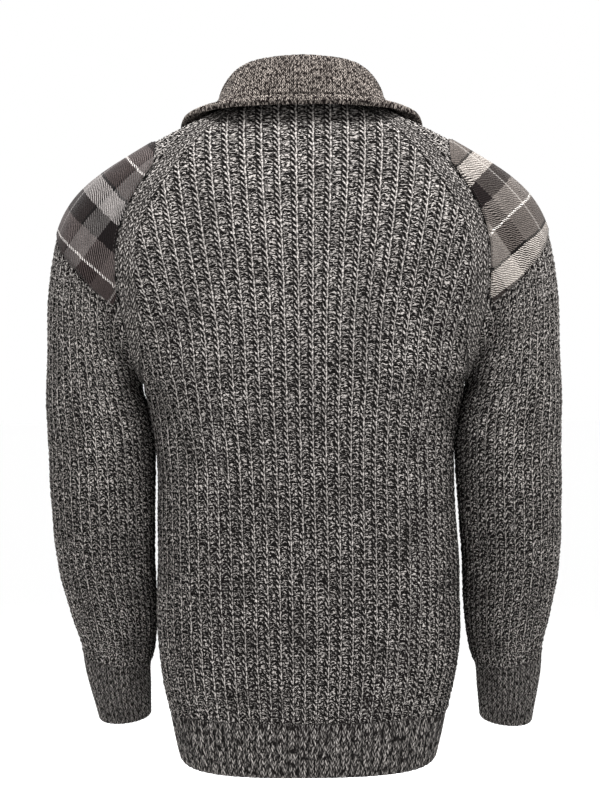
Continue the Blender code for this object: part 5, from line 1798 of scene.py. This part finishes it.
FLOOR_Z = -0.98
FLOOR_HALF = 60.0
LAMP_SPREAD = math.radians(70)
LAMPS_AIM = Vector((0, 0, -0.33))
LAMPS = (  # name, place, size and share of the key light's power
    ("key_light", (-0.2, 1.1, 2.4), 1.2, 1.0),
    ("fill_light", (-1.6, 1.8, 0.6), 1.4, 0.05),
    ("front_light", (0.3, -1.3, 2.3), 1.3, 0.8),
)
PHOTO_PIXEL = 0.0011  # metres for each pixel of the photograph's frame
PHOTO_HEIGHT = 800
SENSOR_HEIGHT = 24
CAMERA_Z = -0.297


class PULLOVER_OT_stage(bpy.types.Operator):
    """Sets the plain floor, the soft lights and the camera"""

    bl_idname = "pullover.stage"
    bl_label = "Stage"

    def execute(self, context):
        stage = context.scene.pullover_stage
        mesh = bpy.data.meshes.new("studio_floor")
        corners = [(x * FLOOR_HALF, y * FLOOR_HALF, FLOOR_Z) for x, y in ((-1, -1), (1, -1), (1, 1), (-1, 1))]
        mesh.from_pydata(corners, [], [(0, 1, 2, 3)])
        floor = bpy.data.objects.new("studio_floor", mesh)
        context.scene.collection.objects.link(floor)
        paint = Finish("studio_floor_paint", Roughness=0.9, Base_Color=(*stage.floor, 1))
        spot = paint.add("ShaderNodeTexCoord", out=3)
        grain = paint.noise(spot, 40.0, 2.0)
        floor.data.materials.append(paint.end(None, grain * 0.1 + 0.85, None))

        world = bpy.data.worlds.new("studio_air")
        world.use_nodes = True
        sky = world.node_tree.nodes["Background"]
        sky.inputs["Color"].default_value = (1, 1, 1, 1)
        sky.inputs["Strength"].default_value = 1.0
        context.scene.world = world
        for name, spot, size, share in LAMPS:
            lamp = bpy.data.lights.new(name, "AREA")
            lamp.shape = "DISK"
            lamp.size = size
            lamp.spread = LAMP_SPREAD
            lamp.energy = stage.key * share
            holder = bpy.data.objects.new(name, lamp)
            holder.location = spot
            aim = LAMPS_AIM - Vector(spot)
            holder.rotation_euler = aim.to_track_quat("-Z", "Y").to_euler()
            context.scene.collection.objects.link(holder)

        lens = bpy.data.cameras.new("studio_camera")
        lens.sensor_fit = "VERTICAL"
        lens.sensor_height = SENSOR_HEIGHT
        lens.lens = SENSOR_HEIGHT * stage.distance / (PHOTO_HEIGHT * PHOTO_PIXEL)
        camera = bpy.data.objects.new("studio_camera", lens)
        camera.location = (4 * PHOTO_PIXEL, stage.distance, CAMERA_Z)
        camera.rotation_euler = (math.radians(90), math.radians(0.5), math.radians(180))
        context.scene.collection.objects.link(camera)
        context.scene.camera = camera
        context.scene.view_settings.view_transform = "Standard"
        return {"FINISHED"}


class PULLOVER_PT_panel(bpy.types.Panel):
    """Lists the pullover's pieces and its settings"""

    bl_idname = "PULLOVER_PT_panel"
    bl_label = "Pullover"
    bl_space_type = "VIEW_3D"
    bl_region_type = "UI"
    bl_category = "Pullover"

    def draw(self, context):
        for step in STEPS:
            self.layout.operator(step.bl_idname)
        for group in (context.scene.pullover_knit, context.scene.pullover_trim, context.scene.pullover_stage):
            box = self.layout.box()
            for key in group.__annotations__:
                box.prop(group, key)


STEPS = (
    PULLOVER_OT_torso,
    PULLOVER_OT_sleeves,
    PULLOVER_OT_bands,
    PULLOVER_OT_collar,
    PULLOVER_OT_patches,
    PULLOVER_OT_zip,
    PULLOVER_OT_stage,
)
GROUPS = {"pullover_knit": KnitSettings, "pullover_trim": TrimSettings, "pullover_stage": StageSettings}


def register():
    for one in (*GROUPS.values(), *STEPS, PULLOVER_PT_panel):
        bpy.utils.register_class(one)
    for name, group in GROUPS.items():
        setattr(bpy.types.Scene, name, PointerProperty(type=group))


def unregister():
    for name in GROUPS:
        delattr(bpy.types.Scene, name)
    for one in (PULLOVER_PT_panel, *STEPS[::-1], *GROUPS.values()):
        bpy.utils.unregister_class(one)


def main():
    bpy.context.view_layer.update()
    register()
    bpy.ops.pullover.stage()
    bpy.ops.pullover.torso()
    bpy.ops.pullover.sleeves()
    bpy.ops.pullover.bands()
    bpy.ops.pullover.collar()
    bpy.ops.pullover.patches()
    bpy.ops.pullover.zip()


if __name__ == "__main__":
    main()
